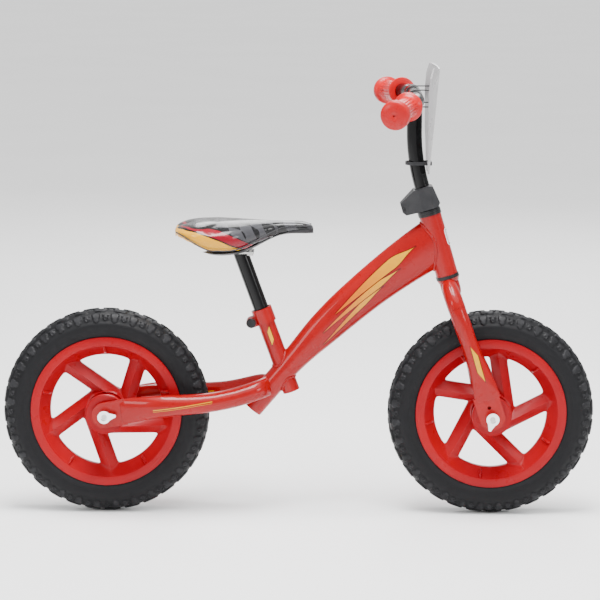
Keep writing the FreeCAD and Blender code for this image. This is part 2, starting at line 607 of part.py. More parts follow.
eyelet = cylinder("dims.eyelet_radius", "4 * dims.dropout_inside",
                  (f"{WHEELS['front'][0]} - 0.3 * dims.eyelet_rise", "-2 * dims.dropout_inside",
                   f"{WHEELS['front'][2]} + 0.95 * dims.eyelet_rise"), X_AXIS, "-90")
fork_blade_left = cut(fuse(cut(blade_hollow, crown_fill), blade_tab), crown_fill,
                      axle_hole["front"], eyelet)
piece(fork_blade_left, "fork_blade_left")
piece(mirrored(fork_blade_left), "fork_blade_right")

# ---------------------------------------------------------------- wheels
RIM_SEAT = "dims.rim_flange_radius - dims.rim_seat_depth"
HALF_WEB = "dims.web_thickness / 2"
CHANNEL = "dims.rim_half_width - dims.rim_flange_wall"


def both_sides(points):
    """A half outline with heights above the middle, closed by its mirror image below it."""
    return points + [(radius, f"-({up})") for radius, up in reversed(points)]


def wheel_moulding(wheel, turn):
    """A one-piece plastic wheel: rim channel, web with windows, ribs and a hub barrel."""
    body = doc.addObject("PartDesign::Body", f"{wheel}_moulding")
    profile = outline(body, "XZ_Plane", both_sides([
        (RIM_SEAT, CHANNEL), ("dims.rim_flange_radius", CHANNEL),
        ("dims.rim_flange_radius", "dims.rim_half_width"),
        ("dims.rim_skirt_radius", "dims.rim_half_width - 2"),
        ("dims.window_radius", HALF_WEB), ("dims.hub_waist_radius", HALF_WEB),
        ("dims.hub_waist_radius", "dims.hub_half_length - dims.hub_lip - 3"),
        ("dims.hub_radius", "dims.hub_half_length - dims.hub_lip"),
        ("dims.hub_radius", "dims.hub_half_length - 1.5"),
        ("dims.hub_radius - 1.5", "dims.hub_half_length"),
        ("dims.bearing_radius", "dims.hub_half_length"),
        ("dims.bearing_radius", "layout.bearing_inside"),
        ("dims.hub_bore_radius", "layout.bearing_inside"),
    ]))
    spin = body.newObject("PartDesign::Revolution", "spin")
    spin.Profile = profile
    spin.ReferenceAxis = (profile, ["V_Axis"])
    spin.Angle = 360
    # One window lies between the near edge of a spoke and the far edge of the next one.
    step = "(360 deg / dims.spoke_count)"
    near = "(dims.spoke_offset - dims.spoke_width / 2)"
    far = "(dims.spoke_offset + dims.spoke_width / 2)"
    limit = "(dims.window_radius - dims.window_margin)"
    reach = f"sqrt({limit}^2 - {far}^2)"
    # The outer edge is an arc of four chords, between the angles of its two corners.
    first = f"acos({near} / {limit})"
    arc = f"(({step} + acos({far} / {limit}) - {first}) / 4)"
    window = body.newObject("PartDesign::Pocket", "window")
    window.Profile = outline(body, "XY_Plane", [
        (near, f"({far} - {near} * cos({step})) / sin({step})"),
        (near, f"sqrt({limit}^2 - {near}^2)"),
        (f"{limit} * cos({first} + {arc})", f"{limit} * sin({first} + {arc})"),
        (f"{limit} * cos({first} + 2 * {arc})", f"{limit} * sin({first} + 2 * {arc})"),
        (f"{limit} * cos({first} + 3 * {arc})", f"{limit} * sin({first} + 3 * {arc})"),
        (f"{far} * cos({step}) - {reach} * sin({step})",
         f"{far} * sin({step}) + {reach} * cos({step})")])
    window.Midplane = True
    window.Type = "ThroughAll"
    doc.recompute()
    windows = body.newObject("PartDesign::PolarPattern", "windows")
    windows.Originals = [window]
    windows.Axis = (profile, ["V_Axis"])
    windows.Angle = 360
    windows.Occurrences = int(value("dims.spoke_count"))
    body.Tip = windows
    place(body, angle=turn)
    # A rib stands on both faces of each spoke and runs from the hub to the rim.
    ribs = []
    for index in range(int(value("dims.spoke_count"))):
        rib = padded("YZ_Plane", [
            ("2", f"{HALF_WEB} - 1"), ("dims.window_radius + 5", f"{HALF_WEB} - 1"),
            ("dims.window_radius + 5", f"{HALF_WEB} + dims.rib_height * 0.8"),
            ("dims.hub_waist_radius", f"{HALF_WEB} + 2 * dims.rib_height"),
            ("2", f"{HALF_WEB} + 2 * dims.rib_height")], "dims.rib_width")
        place(rib, ("0", "0", "0"))
        turn_by = f"({index} * {step})"
        bind(rib, Placement__Rotation__Angle=turn_by,
             Placement__Base__x=f"dims.spoke_offset * cos({turn_by})",
             Placement__Base__y=f"dims.spoke_offset * sin({turn_by})")
        ribs.append(rib)
    upper = fuse(*ribs)
    lower_ribs = mirrored(upper, Z_AXIS)
    bare = cylinder("dims.hub_waist_radius - 1", "4 * dims.hub_half_length",
                    ("0", "0", "-2 * dims.hub_half_length"))
    rib_set = cut(fuse(upper, lower_ribs), bare)
    place(rib_set, angle=turn)
    return place(fuse(body, rib_set), on_axle(wheel), X_AXIS, "90")


def tyre(wheel):
    """A hollow rubber tyre that fills the rim channel and opens towards it."""
    outside = doc.addObject("Part::Torus", "tyre_outside")
    cavity = doc.addObject("Part::Torus", "tyre_cavity")
    for torus, thickness in ((outside, "0"), (cavity, "dims.tyre_wall")):
        bind(torus, Radius1="dims.tyre_radius - dims.tyre_width / 2",
             Radius2=f"dims.tyre_width / 2 - {thickness}")
        place(torus, **across_bike(wheel))
    plug = turned(both_sides([
        ("0", "dims.rim_half_width"), ("dims.rim_flange_radius", "dims.rim_half_width"),
        ("dims.rim_flange_radius", CHANNEL), (RIM_SEAT, CHANNEL)]), **across_bike(wheel))
    mouth = ring("dims.rim_flange_radius", f"{RIM_SEAT} - 5", "0.4 * dims.tyre_width",
                 start="-0.2 * dims.tyre_width", **across_bike(wheel))
    return cut(outside, cavity, plug, mouth)


def bearings(wheel):
    """Two sealed ball bearings, pressed into the ends of the hub."""
    bore = "dims.axle_radius + dims.running_gap"
    solids = [ring("dims.bearing_radius", bore, "dims.bearing_width", start=start,
                   **across_bike(wheel))
              for start in ("layout.bearing_inside", "-dims.hub_half_length")]
    return group(solids)


def axle_set(wheel, tail_turn):
    """The axle with its inner and outer spacers, washers and chrome end caps."""
    side = "layout.dropout_outside"
    end = f"{side} + dims.washer_thickness + dims.axle_cap_length - 3"
    axle = cylinder("dims.axle_radius", f"2 * ({end})", **across_bike(wheel, f"-({end})"))
    piece(axle, f"{wheel}_axle")
    inner = ring("dims.spacer_radius", "dims.axle_radius",
                 "2 * (layout.bearing_inside - dims.side_gap)",
                 start="dims.side_gap - layout.bearing_inside", **across_bike(wheel))
    piece(inner, f"{wheel}_axle_inner_spacer")
    length = "dims.dropout_inside - dims.hub_half_length - dims.side_gap"
    outer = [ring("dims.spacer_radius", "dims.axle_radius", length, start=start,
                  **across_bike(wheel))
             for start in ("dims.hub_half_length + dims.side_gap", "-dims.dropout_inside")]
    piece(group(outer), f"{wheel}_axle_end_spacers")
    washer = [ring("dims.washer_radius", "dims.axle_radius", "dims.washer_thickness", start=start,
                   **across_bike(wheel))
              for start in (side, f"-({side}) - dims.washer_thickness")]
    piece(group(washer), f"{wheel}_axle_washers")
    caps = []
    cap_start = f"{side} + dims.washer_thickness"
    tip = "dims.axle_cap_tail - dims.axle_cap_tip_radius"
    for start in (cap_start, f"-({cap_start}) - dims.axle_cap_length"):
        barrel = cylinder("dims.axle_cap_radius", "dims.axle_cap_length",
                          **across_bike(wheel, start))
        point = cylinder("dims.axle_cap_tip_radius", "dims.axle_cap_length",
                         (f"{WHEELS[wheel][0]} + ({tip}) * cos({tail_turn} * 1 deg)", start,
                          f"{WHEELS[wheel][2]} + ({tip}) * sin({tail_turn} * 1 deg)"),
                         X_AXIS, "-90")
        tail = padded("XZ_Plane", [
            ("0", "-dims.axle_cap_radius * 0.92"), (tip, "-dims.axle_cap_tip_radius"),
            (tip, "dims.axle_cap_tip_radius"), ("0", "dims.axle_cap_radius * 0.92")],
            "dims.axle_cap_length",
            on_axle(wheel, f"{start} + dims.axle_cap_length / 2"), Y_AXIS, f"-({tail_turn})")
        bore = cylinder("dims.axle_radius", "dims.axle_cap_length", **across_bike(wheel, start))
        outward = "3 - dims.axle_cap_length" if start != cap_start else "dims.axle_cap_length - 3"
        recess = cylinder("dims.axle_cap_bore", "dims.axle_cap_length",
                          **across_bike(wheel, f"{start} + {outward}"))
        caps.append(cut(fuse(barrel, point, tail), bore, recess))
    piece(group(caps), f"{wheel}_axle_nuts")


for wheel in WHEELS:
    piece(wheel_moulding(wheel, f"dims.{wheel}_wheel_turn"), f"{wheel}_wheel")
    piece(tyre(wheel), f"{wheel}_tyre")
    piece(bearings(wheel), f"{wheel}_wheel_bearings")
    axle_set(wheel, f"dims.{wheel}_cap_turn")

# ---------------------------------------------------------------- handlebar
def rounded_path(points, bend_radius):
    """A wire through straight runs joined by tangent arcs of one radius."""
    edges = []
    start = points[0]
    for before, corner, after in zip(points, points[1:], points[2:]):
        inward = (corner - before).normalize()
        outward = (after - corner).normalize()
        half_turn = inward.getAngle(outward) / 2
        setback = bend_radius * math.tan(half_turn)
        enter = corner - inward * setback
        leave = corner + outward * setback
        middle = (outward - inward).normalize()
        crest = corner + middle * (bend_radius / math.cos(half_turn) - bend_radius)
        edges.append(Part.LineSegment(start, enter).toShape())
        edges.append(Part.Arc(enter, crest, leave).toShape())
        start = leave
    edges.append(Part.LineSegment(start, points[-1]).toShape())
    return Part.Wire(edges)


def point(at):
    """The vector of a triple of expressions."""
    return Vector(*[value(rule) for rule in at])


def bent_rod(points, bend, radius):
    """A round rod swept along straight runs and arcs, with its radius bound to the sheet."""
    path = doc.addObject("Part::Feature", "path")
    path.Shape = rounded_path(points, value(bend))
    section = doc.addObject("Part::Circle", "section")
    bind(section, Radius=radius)
    turn = FreeCAD.Rotation(Z_AXIS, points[1] - points[0])
    section.Placement = FreeCAD.Placement(points[0], turn)
    rod = doc.addObject("Part::Sweep", "rod")
    rod.Sections = [section]
    rod.Spine = (path, [f"Edge{index + 1}" for index in range(len(path.Shape.Edges))])
    rod.Solid = True
    rod.Frenet = True
    return rod


# The post leaves the steerer along the steering axis and bends upright to the crossbar.
BAR_TURN = "tan(dims.head_angle / 2 * 1 deg)"
BAR_CORNER = on_head(f"dims.bar_bend_start + dims.bar_bend_radius * {BAR_TURN}")
BAR_X = BAR_CORNER[0]
BAR_TOP = (BAR_X, "0", "dims.bar_height")
post_path = [point(on_head("dims.steerer_top - dims.bar_post_inside")), point(BAR_CORNER),
             point(BAR_TOP)]
post_solid = bent_rod(post_path, "dims.bar_bend_radius", "dims.bar_radius")
post_hollow = bent_rod(post_path, "dims.bar_bend_radius", "dims.bar_radius - dims.bar_wall")

# The crossbar is straight in the middle and sweeps back and a little down at both ends.
SWEEP = "dims.bar_bend * 1 deg"
TILT = "dims.bar_sweep_tilt * 1 deg"


def on_bar(out, side=1):
    """A place on the swept part of the crossbar, out from the middle plane along Y."""
    back = f"(({out}) - dims.bar_middle) * tan({SWEEP})"
    return (f"{BAR_X} - {back} * cos({TILT})", f"{side} * ({out})",
            f"dims.bar_height - {back} * sin({TILT})")


bar_path = [point(on_bar("dims.bar_half_length - 5", -1)), point(on_bar("dims.bar_middle", -1)),
            point(on_bar("dims.bar_middle")), point(on_bar("dims.bar_half_length - 5"))]
bar_solid = bent_rod(bar_path, "dims.bar_turn_radius", "dims.bar_radius")
bar_hollow = bent_rod(bar_path, "dims.bar_turn_radius", "dims.bar_radius - dims.bar_wall")
piece(cut(post_solid, post_hollow, bar_solid), "handlebar_post")
piece(cut(bar_solid, bar_hollow), "handlebar_crossbar")

GRIP_END = "(dims.grip_length / cos(" + SWEEP + "))"
grip = turned([
    ("dims.bar_radius", "0"), ("layout.grip_flange_radius - 1", "0"),
    ("layout.grip_flange_radius", "1"), ("layout.grip_flange_radius", "dims.grip_flange - 1"),
    ("layout.grip_flange_radius - 1", "dims.grip_flange"),
    ("layout.grip_radius", "dims.grip_flange + 4"),
    ("layout.grip_radius", f"{GRIP_END} - dims.grip_flange - 8"),
    ("layout.grip_flange_radius - 1", f"{GRIP_END} - dims.grip_flange - 4"),
    ("layout.grip_flange_radius", f"{GRIP_END} - dims.grip_flange - 3"),
    ("layout.grip_flange_radius", f"{GRIP_END} - 4"),
    ("layout.grip_flange_radius - 3", f"{GRIP_END} - 1.2"),
    ("layout.grip_flange_radius - 9", f"{GRIP_END}"), ("3", f"{GRIP_END}"),
    ("3", f"{GRIP_END} - 3"), ("dims.bar_radius", f"{GRIP_END} - 3")])
grip_turn = FreeCAD.Rotation(Z_AXIS, bar_path[3] - bar_path[2])
place(grip, on_bar("dims.grip_inner"))
grip.Placement = FreeCAD.Placement(grip.Placement.Base, grip_turn)
grip_left = cut(grip, bar_solid)
piece(grip_left, "grip_left")
piece(mirrored(grip_left), "grip_right")

# ---------------------------------------------------------------- stem clamp under its cover
RING_LOW = "dims.steerer_top - dims.stem_ring_height"
RING_MIDDLE = "dims.steerer_top - dims.stem_ring_height / 2"
stem_lug = box(("layout.stem_lug_reach", "14", "dims.stem_ring_height"),
               **along_head(RING_LOW, "-layout.stem_lug_reach", "-7"))
stem_ring = ring("layout.stem_ring_radius", "layout.steerer_radius", "dims.stem_ring_height",
                 **along_head(RING_LOW))
stem_inside = cylinder("layout.steerer_radius", "3 * dims.stem_ring_height",
                       **along_head(f"{RING_LOW} - dims.stem_ring_height"))
stem_slit = box(("2 * layout.stem_lug_reach", "2", "3 * dims.stem_ring_height"),
                **along_head(f"{RING_LOW} - dims.stem_ring_height",
                             "-2 * layout.stem_lug_reach - layout.steerer_radius / 2", "-1"))
STEM_BOLT = "-layout.stem_lug_reach + 6"
stem_hole = cylinder("dims.stem_bolt_radius", "40", on_head(RING_MIDDLE, STEM_BOLT, "-20"),
                     X_AXIS, "-90")
piece(cut(fuse(stem_ring, stem_lug), stem_inside, stem_slit, stem_hole), "stem_clamp_ring")
piece(turned([("0", "-11"), ("2 * dims.stem_bolt_radius", "-11"),
              ("2 * dims.stem_bolt_radius", "-7"), ("dims.stem_bolt_radius", "-7"),
              ("dims.stem_bolt_radius", "11"), ("0", "11")],
             on_head(RING_MIDDLE, STEM_BOLT), X_AXIS, "-90"), "stem_clamp_bolt")
piece(ring("2 * dims.stem_bolt_radius", "dims.stem_bolt_radius", "3.5",
           on_head(RING_MIDDLE, STEM_BOLT, "7"), X_AXIS, "-90"), "stem_clamp_nut")
REAR = "-layout.stem_cover_rear"
FRONT = "layout.stem_cover_front"
WIDE = "layout.stem_cover_half_width"
COVER_LOW = "dims.stem_cover_bottom"
COVER_HIGH = "dims.stem_cover_top"
cover_side = padded("XZ_Plane", [
    (f"{REAR} + 4", COVER_LOW), (f"{FRONT} - 4", COVER_LOW), (FRONT, f"{COVER_LOW} + 4"),
    (f"{FRONT} - 4", f"{COVER_HIGH} - 3"), (f"{FRONT} - 10", COVER_HIGH),
    (f"{REAR} + 24", f"{COVER_HIGH} - 1"), (REAR, f"{COVER_LOW} + 19"),
    (REAR, f"{COVER_LOW} + 5")], f"2 * {WIDE}", **along_head())
cover_plan = padded("XY_Plane", [
    (REAR, f"0.45 * {WIDE}"), (f"{REAR} + 9", f"0.7 * {WIDE}"), ("-8", WIDE), ("8", WIDE),
    (FRONT, f"0.45 * {WIDE}"), (FRONT, f"-0.45 * {WIDE}"), ("8", f"-{WIDE}"),
    ("-8", f"-{WIDE}"), (f"{REAR} + 9", f"-0.7 * {WIDE}"), (REAR, f"-0.45 * {WIDE}")],
    "400", **along_head())
cover_core = [
    cylinder("layout.steerer_radius", "60", **along_head("dims.steerer_top - 60")),
    cylinder("layout.stem_ring_radius + 0.2", "dims.stem_ring_height + 1",
             **along_head(f"{RING_LOW} - 0.5")),
    cylinder("dims.bar_radius + 0.6", "60", **along_head("dims.steerer_top - 10")),
    box(("layout.stem_lug_reach + 1", "23", "dims.stem_ring_height + 1"),
        **along_head(f"{RING_LOW} - 0.5", "-layout.stem_lug_reach - 1", "-11.5")),
]
cover_screw_places = [on_head(f"{COVER_LOW} + 9", f"{REAR} + 5", "0"),
                      on_head(f"{COVER_LOW} + 4.5", f"{REAR} + 15", "0")]
cover_screws = [turned([("0", "-12"), ("2.6", "-12"), ("2.6", "-9"), ("1.3", "-9"),
                        ("1.3", "9"), ("0", "9")], at, X_AXIS, "-90")
                for at in cover_screw_places]
cover_whole = cut(common(cover_side, cover_plan), *cover_core, *cover_screws)
piece(cut(cover_whole, right_side), "stem_cover_left")
piece(common(cover_whole, right_side), "stem_cover_right")
piece(group(cover_screws), "stem_cover_screws")

# ---------------------------------------------------------------- number plate and its ties
PLATE_HIGH = "dims.plate_top - dims.plate_bottom"
plate_front = (f"{BAR_X} + dims.plate_forward - dims.plate_radius", "0", "dims.plate_bottom - 40")
plate_shell = ring("dims.plate_radius", "dims.plate_radius - dims.plate_thickness", "300",
                   plate_front, Y_AXIS, "dims.plate_lean")
TOP_HALF = "dims.plate_top_half"
LOW_HALF = "dims.plate_low_half"
half_plate = [
    ("0", "dims.plate_bottom"), (f"{LOW_HALF} - 6", "dims.plate_bottom"),
    (LOW_HALF, "dims.plate_bottom + 5"), (f"{LOW_HALF} + 7", "dims.plate_bottom + 22"),
    (f"{TOP_HALF} - 12", f"dims.plate_bottom + 0.4 * ({PLATE_HIGH})"),
    (TOP_HALF, f"dims.plate_top - 0.24 * ({PLATE_HIGH})"), (TOP_HALF, "dims.plate_top - 14"),
    (f"{TOP_HALF} - 6", "dims.plate_top"), (f"{TOP_HALF} - 12", "dims.plate_top"),
    ("0", "dims.plate_top - 5")]
plate_outline = half_plate + [(f"-({across})", up) for across, up in reversed(half_plate[1:-1])]
plate_prism = padded("YZ_Plane", plate_outline, "200", (f"{BAR_X} + 100", "0", "0"))


def tie(across, up, rod_x, crosswise):
    """A strap that loops round a bar and through the plate; its outside and its loop."""
    sizes = []
    for grow in ("dims.tie_thickness + dims.tie_play", "dims.tie_play"):
        radius = f"(dims.bar_radius + {grow})"
        depth = f"(dims.plate_forward + 5 + {grow})"
        wide = "dims.tie_width" if grow != "dims.tie_play" else "3 * dims.tie_width"
        if crosswise:
            start = f"{across} - ({wide}) / 2"
            rod = cylinder(radius, wide, (rod_x, start, up), X_AXIS, "-90")
            block = box((depth, wide, f"2 * {radius}"), (rod_x, start, f"{up} - {radius}"))
        else:
            start = f"{up} - ({wide}) / 2"
            rod = cylinder(radius, wide, (rod_x, across, start))
            block = box((depth, f"2 * {radius}", wide), (rod_x, f"{across} - {radius}", start))
        sizes.append(fuse(rod, block))
    return sizes


ties = [tie("dims.tie_spread", "dims.bar_height", BAR_X, True),
        tie("-dims.tie_spread", "dims.bar_height", BAR_X, True),
        tie("0", "dims.plate_bottom + dims.tie_low_rise", BAR_X, False)]
loops = [cut(outside, inside) for outside, inside in ties]
piece(group(loops), "number_plate_ties")
piece(cut(common(plate_shell, plate_prism), *loops), "number_plate")

# ---------------------------------------------------------------- seat post and saddle
POST_LOW = "dims.seat_tube_up - dims.seat_post_inside"
post_blank = ring("dims.seat_post_radius", "dims.seat_post_radius - dims.tube_wall",
                  f"layout.post_up + 10 - ({POST_LOW})", **along_seat(POST_LOW))
above_bracket = box(("dims.saddle_length", "dims.saddle_length", "dims.saddle_length"),
                    ("layout.bracket_x - dims.saddle_length / 2", "-dims.saddle_length / 2",
                     "layout.bracket_low"))
piece(cut(post_blank, above_bracket), "seat_post")


SIDE_POWER = value("dims.saddle_side")
DOME_POWER = value("dims.saddle_dome")
TAIL_SHARE = value("dims.saddle_tail_share")
TIP_SHARE = value("dims.saddle_tip_share")
CORNERS = 20


def blend(share):
    """A smooth step from 0 to 1."""
    share = min(max(share, 0), 1)
    return share * share * (3 - 2 * share)


def saddle_section(share, side, under, over=None):
    """A closed, rounded cross-section of the saddle, a share of the way from rear to nose.

    side is the inset of the outline, under is how far the bottom lies above the skirt line, and
    over is the height of the top above the skirt line, or None for the seat's own top.
    """
    rear, nose = value("dims.saddle_widest"), value("dims.saddle_waist")
    body = 1 - blend((share - rear) / (nose - rear))
    half = value("dims.nose_half_width") * (1 - body) + value("dims.saddle_half_width") * body
    skirt = value("dims.skirt_low")
    skirt += (value("dims.skirt_nose") - skirt) * blend((share - 0.4) / 0.45)
    skirt += (value("dims.skirt_rear") - value("dims.skirt_low")) * blend((0.3 - share) / 0.3)
    top = value("dims.saddle_top")
    for distance, span in ((share, TAIL_SHARE), (1 - share, TIP_SHARE)):
        bulge = math.sqrt(1 - (1 - min(distance / span, 1)) ** 2)
        half *= 0.3 + 0.7 * bulge
        top = skirt + (top - skirt) * (0.55 + 0.45 * bulge)
    half -= side
    top = top - side if over is None else skirt + over
    bottom = skirt + under
    middle = (top + bottom) / 2
    rise = (top - bottom) / 2
    along = value("layout.saddle_rear") + side + share * (value("dims.saddle_length") - 2 * side)
    corners = []
    for step in range(CORNERS):
        turn = 2 * math.pi * step / CORNERS
        across = math.copysign(abs(math.cos(turn)) ** SIDE_POWER, math.cos(turn))
        upward = math.copysign(abs(math.sin(turn)) ** DOME_POWER, math.sin(turn))
        corners.append(Vector(along, half * across, middle + rise * upward))
    curve = Part.BSplineCurve()
    curve.interpolate(corners, PeriodicFlag=True)
    return Part.Wire(curve.toShape())


SADDLE_SHARES = (0, 0.03, 0.1, 0.22, 0.36, 0.5, 0.64, 0.78, 0.9, 0.97, 1)


def saddle_solid(side, under, over=None):
    """A smooth solid through the saddle's cross-sections."""
    solid = doc.addObject("Part::Feature", "saddle_solid")
    solid.Shape = Part.makeLoft([saddle_section(share, side, under, over)
                                 for share in SADDLE_SHARES], True)
    return solid


THICK = value("dims.cover_thickness")
RISE = value("dims.base_rise")
SNUG = THICK + value("dims.saddle_gap")
BEYOND = value("dims.saddle_beyond")
outer = saddle_solid(0, 0)
inner = saddle_solid(THICK, THICK)
filling = saddle_solid(SNUG, SNUG)
base_band = saddle_solid(-BEYOND, -BEYOND, RISE)
foam_band = saddle_solid(-BEYOND, -BEYOND, RISE + value("dims.saddle_gap"))
hollow = saddle_solid(value("dims.base_rim"), -BEYOND, RISE - value("dims.base_thickness"))
piece(cut(outer, inner, hollow), "saddle_cover")
piece(cut(filling, foam_band), "saddle_foam")

# Under the base a solid pad takes the bracket's screws.
BRACKET_HIGH = "layout.bracket_low + dims.bracket_thickness"
BRACKET_X = "layout.bracket_x - dims.bracket_behind"
pad = box(("dims.bracket_length + 8", "dims.bracket_width + 8", "60"),
          (f"{BRACKET_X} - 4", "-dims.bracket_width / 2 - 4", BRACKET_HIGH))
bracket = box(("dims.bracket_length", "dims.bracket_width", "dims.bracket_thickness"),
              (BRACKET_X, "-dims.bracket_width / 2", "layout.bracket_low"))
screws = []
for along in ("6", "dims.bracket_length - 6"):
    for across in ("6 - dims.bracket_width / 2", "dims.bracket_width / 2 - 6"):
        screws.append(turned([
            ("0", "-dims.screw_radius"), ("2 * dims.screw_radius", "-dims.screw_radius"),
            ("2 * dims.screw_radius", "0"), ("dims.screw_radius", "0"),
            ("dims.screw_radius", "dims.bracket_thickness + 2"),
            ("0", "dims.bracket_thickness + 2")],
            (f"{BRACKET_X} + {along}", across, "layout.bracket_low")))
piece(cut(common(filling, base_band), cut(hollow, pad), *screws), "saddle_base")
piece(cut(bracket, *screws), "saddle_bracket")
piece(group(screws), "saddle_screws")

# ---------------------------------------------------------------- check every piece, then write it
doc.recompute()
for item in doc.Objects:
    if "Invalid" in item.State or "Error" in item.State:
        raise RuntimeError(f"{item.Name} ({item.Label}) did not build: {item.State}")
for item in PIECES:
    if item.Shape.isNull() or not item.Shape.isValid() or not item.Shape.Solids:
        raise RuntimeError(f"{item.Label} is not a valid solid")
for item in PIECES:
    item.Shape.exportStep(f"parts/{item.Label}.step")
    print(f"{item.Label}: {len(item.Shape.Solids)} solids, {item.Shape.Volume / 1000:.2f} cm3")
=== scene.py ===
# %% [markdown]
# # A child's balance bike
# A balance bike has two small wheels, a low saddle and no pedals: the child pushes it along
# with both feet. The frame model already fixes every size and joint. This lesson dresses that
# frame: it builds the rounded plastic wheels, the knobbly tyres, the padded saddle and the
# tubes as smooth surfaces, and gives every part a finish with its own grain and wear.

# %% Load the frame
import json
import math

import bmesh
import bpy
import numpy as np
from mathutils import Matrix, Vector


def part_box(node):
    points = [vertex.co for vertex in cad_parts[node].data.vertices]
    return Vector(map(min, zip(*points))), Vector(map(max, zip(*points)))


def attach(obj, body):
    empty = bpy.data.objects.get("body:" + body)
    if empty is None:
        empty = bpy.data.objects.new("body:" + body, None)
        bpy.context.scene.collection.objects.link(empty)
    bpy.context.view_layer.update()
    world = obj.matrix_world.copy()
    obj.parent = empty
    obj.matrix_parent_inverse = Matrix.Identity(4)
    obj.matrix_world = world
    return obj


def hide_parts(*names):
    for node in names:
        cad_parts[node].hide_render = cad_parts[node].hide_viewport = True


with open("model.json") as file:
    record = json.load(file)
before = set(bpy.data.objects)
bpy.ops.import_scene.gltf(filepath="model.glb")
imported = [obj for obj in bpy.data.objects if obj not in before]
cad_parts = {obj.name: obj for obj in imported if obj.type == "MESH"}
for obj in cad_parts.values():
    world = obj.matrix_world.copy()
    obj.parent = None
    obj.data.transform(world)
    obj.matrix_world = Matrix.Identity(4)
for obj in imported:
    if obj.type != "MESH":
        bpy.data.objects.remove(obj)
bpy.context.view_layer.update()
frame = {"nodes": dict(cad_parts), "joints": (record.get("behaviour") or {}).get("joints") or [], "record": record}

MM = 0.001

# %% [markdown]
# ## Where things are
# The wheels' centres come from the boxes of the two tyres, and the steering axis from the
# steering joint. All lengths below are in millimetres, because a bike is drawn in millimetres,
# and a mesh is scaled to metres only when it is made.


# %% Places taken from the frame
def centre_of(node):
    """The middle of a CAD node's box, in millimetres."""
    low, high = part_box(node)
    return (np.array(low) + np.array(high)) / 2 / MM


joints = {joint["name"]: joint for joint in frame["joints"]}
rear = centre_of("rear_tyre")
front = centre_of("front_tyre")
TYRE_RADIUS = (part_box("rear_tyre")[1].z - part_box("rear_tyre")[0].z) / 2 / MM
head = np.array(joints["steering"]["pos_m"], float) / MM
head_up = np.array(joints["steering"]["axis"], float)
head_up /= np.linalg.norm(head_up)
head_forward = np.array([head_up[2], 0, -head_up[0]])
seat_up = np.array(joints["saddle_height"]["axis"], float)
seat_up /= np.linalg.norm(seat_up)
seat_forward = np.array([seat_up[2], 0, -seat_up[0]])
ACROSS = np.array([0.0, 1.0, 0.0])
SEAT_AHEAD = 262.1
SEAT_ABOVE = 59.9
seat = rear + np.array([SEAT_AHEAD, 0, SEAT_ABOVE])


def on_head(up, forward=0.0, across=0.0):
    """A point measured up the steering axis, forward of it and to the left."""
    return head + up * head_up + forward * head_forward + across * ACROSS


def on_seat(up, forward=0.0, across=0.0):
    """A point measured up the seat tube's axis, forward of it and to the left."""
    return seat + up * seat_up + forward * seat_forward + across * ACROSS


print("rear axle", rear.round(1), "front axle", front.round(1), "tyre radius", TYRE_RADIUS)

# %% [markdown]
# ## Surfaces from numbers
# Every new piece is a grid of points: one direction runs along the part and the other runs
# round it. numpy works out all the points at once. A ring repeats its first point at its end
# and a pole repeats one point all round, so that merging doubles closes both, while each
# corner keeps its own UV place. That is simpler than bookkeeping the seams face by face.


# %% Skins, joins and pieces
def skin(grid, uv=None):
    """Quads over a rows x columns x 3 grid of points, with an optional UV for each point."""
    rows, columns = grid.shape[:2]
    index = np.arange(rows * columns).reshape(rows, columns)
    faces = np.stack([index[:-1, :-1], index[:-1, 1:], index[1:, 1:], index[1:, :-1]], axis=-1)
    flat_uv = np.zeros((rows * columns, 2)) if uv is None else uv.reshape(-1, 2)
    return grid.reshape(-1, 3), faces.reshape(-1, 4), flat_uv


def capped(grid):
    """The grid with a pole at each end, at the middle of its first and last rows."""
    first = np.repeat(grid[:1, :-1].mean(axis=1, keepdims=True), grid.shape[1], axis=1)
    last = np.repeat(grid[-1:, :-1].mean(axis=1, keepdims=True), grid.shape[1], axis=1)
    return np.concatenate([first, grid, last])


def piece(name, skins, body, finish, stands_for=(), sharp=35.0):
    """A finished object from one or more skins: doubles merged, faces outward, smooth."""
    points, faces, uvs, start = [], [], [], 0
    for skin_points, skin_faces, skin_uv in skins:
        points.append(skin_points)
        faces.append(skin_faces + start)
        uvs.append(skin_uv)
        start += len(skin_points)
    points, faces, uvs = np.concatenate(points), np.concatenate(faces), np.concatenate(uvs)
    mesh = bpy.data.meshes.new(name)
    mesh.from_pydata((points * MM).tolist(), [], faces.tolist())
    layer = mesh.uv_layers.new(name="surface")
    corner = np.empty(len(mesh.loops), np.int32)
    mesh.loops.foreach_get("vertex_index", corner)
    layer.data.foreach_set("uv", uvs[corner].astype(np.float32).ravel())
    work = bmesh.new()
    work.from_mesh(mesh)
    bmesh.ops.remove_doubles(work, verts=work.verts, dist=2e-6)
    bmesh.ops.dissolve_degenerate(work, edges=work.edges, dist=1e-7)
    bmesh.ops.recalc_face_normals(work, faces=work.faces)
    work.to_mesh(mesh)
    work.free()
    mesh.shade_smooth()
    mesh.set_sharp_from_angle(angle=math.radians(sharp))
    made = bpy.data.objects.new(name, mesh)
    bpy.context.scene.collection.objects.link(made)
    mesh.materials.append(finish)
    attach(made, body)
    if stands_for:
        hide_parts(*stands_for)
    print(f"{name}: {len(mesh.polygons)} faces")
    return made


def lathe(profile, origin, axis, side, steps=96):
    """An outline of (radius, height) pairs turned about an axis through the origin."""
    profile = np.asarray(profile, float)
    turn = np.linspace(0, 2 * math.pi, steps + 1)
    other = np.cross(axis, side)
    spoke = np.cos(turn)[:, None] * side + np.sin(turn)[:, None] * other
    return (origin + profile[:, 1, None, None] * axis
            + profile[:, 0, None, None] * spoke[None, :, :])


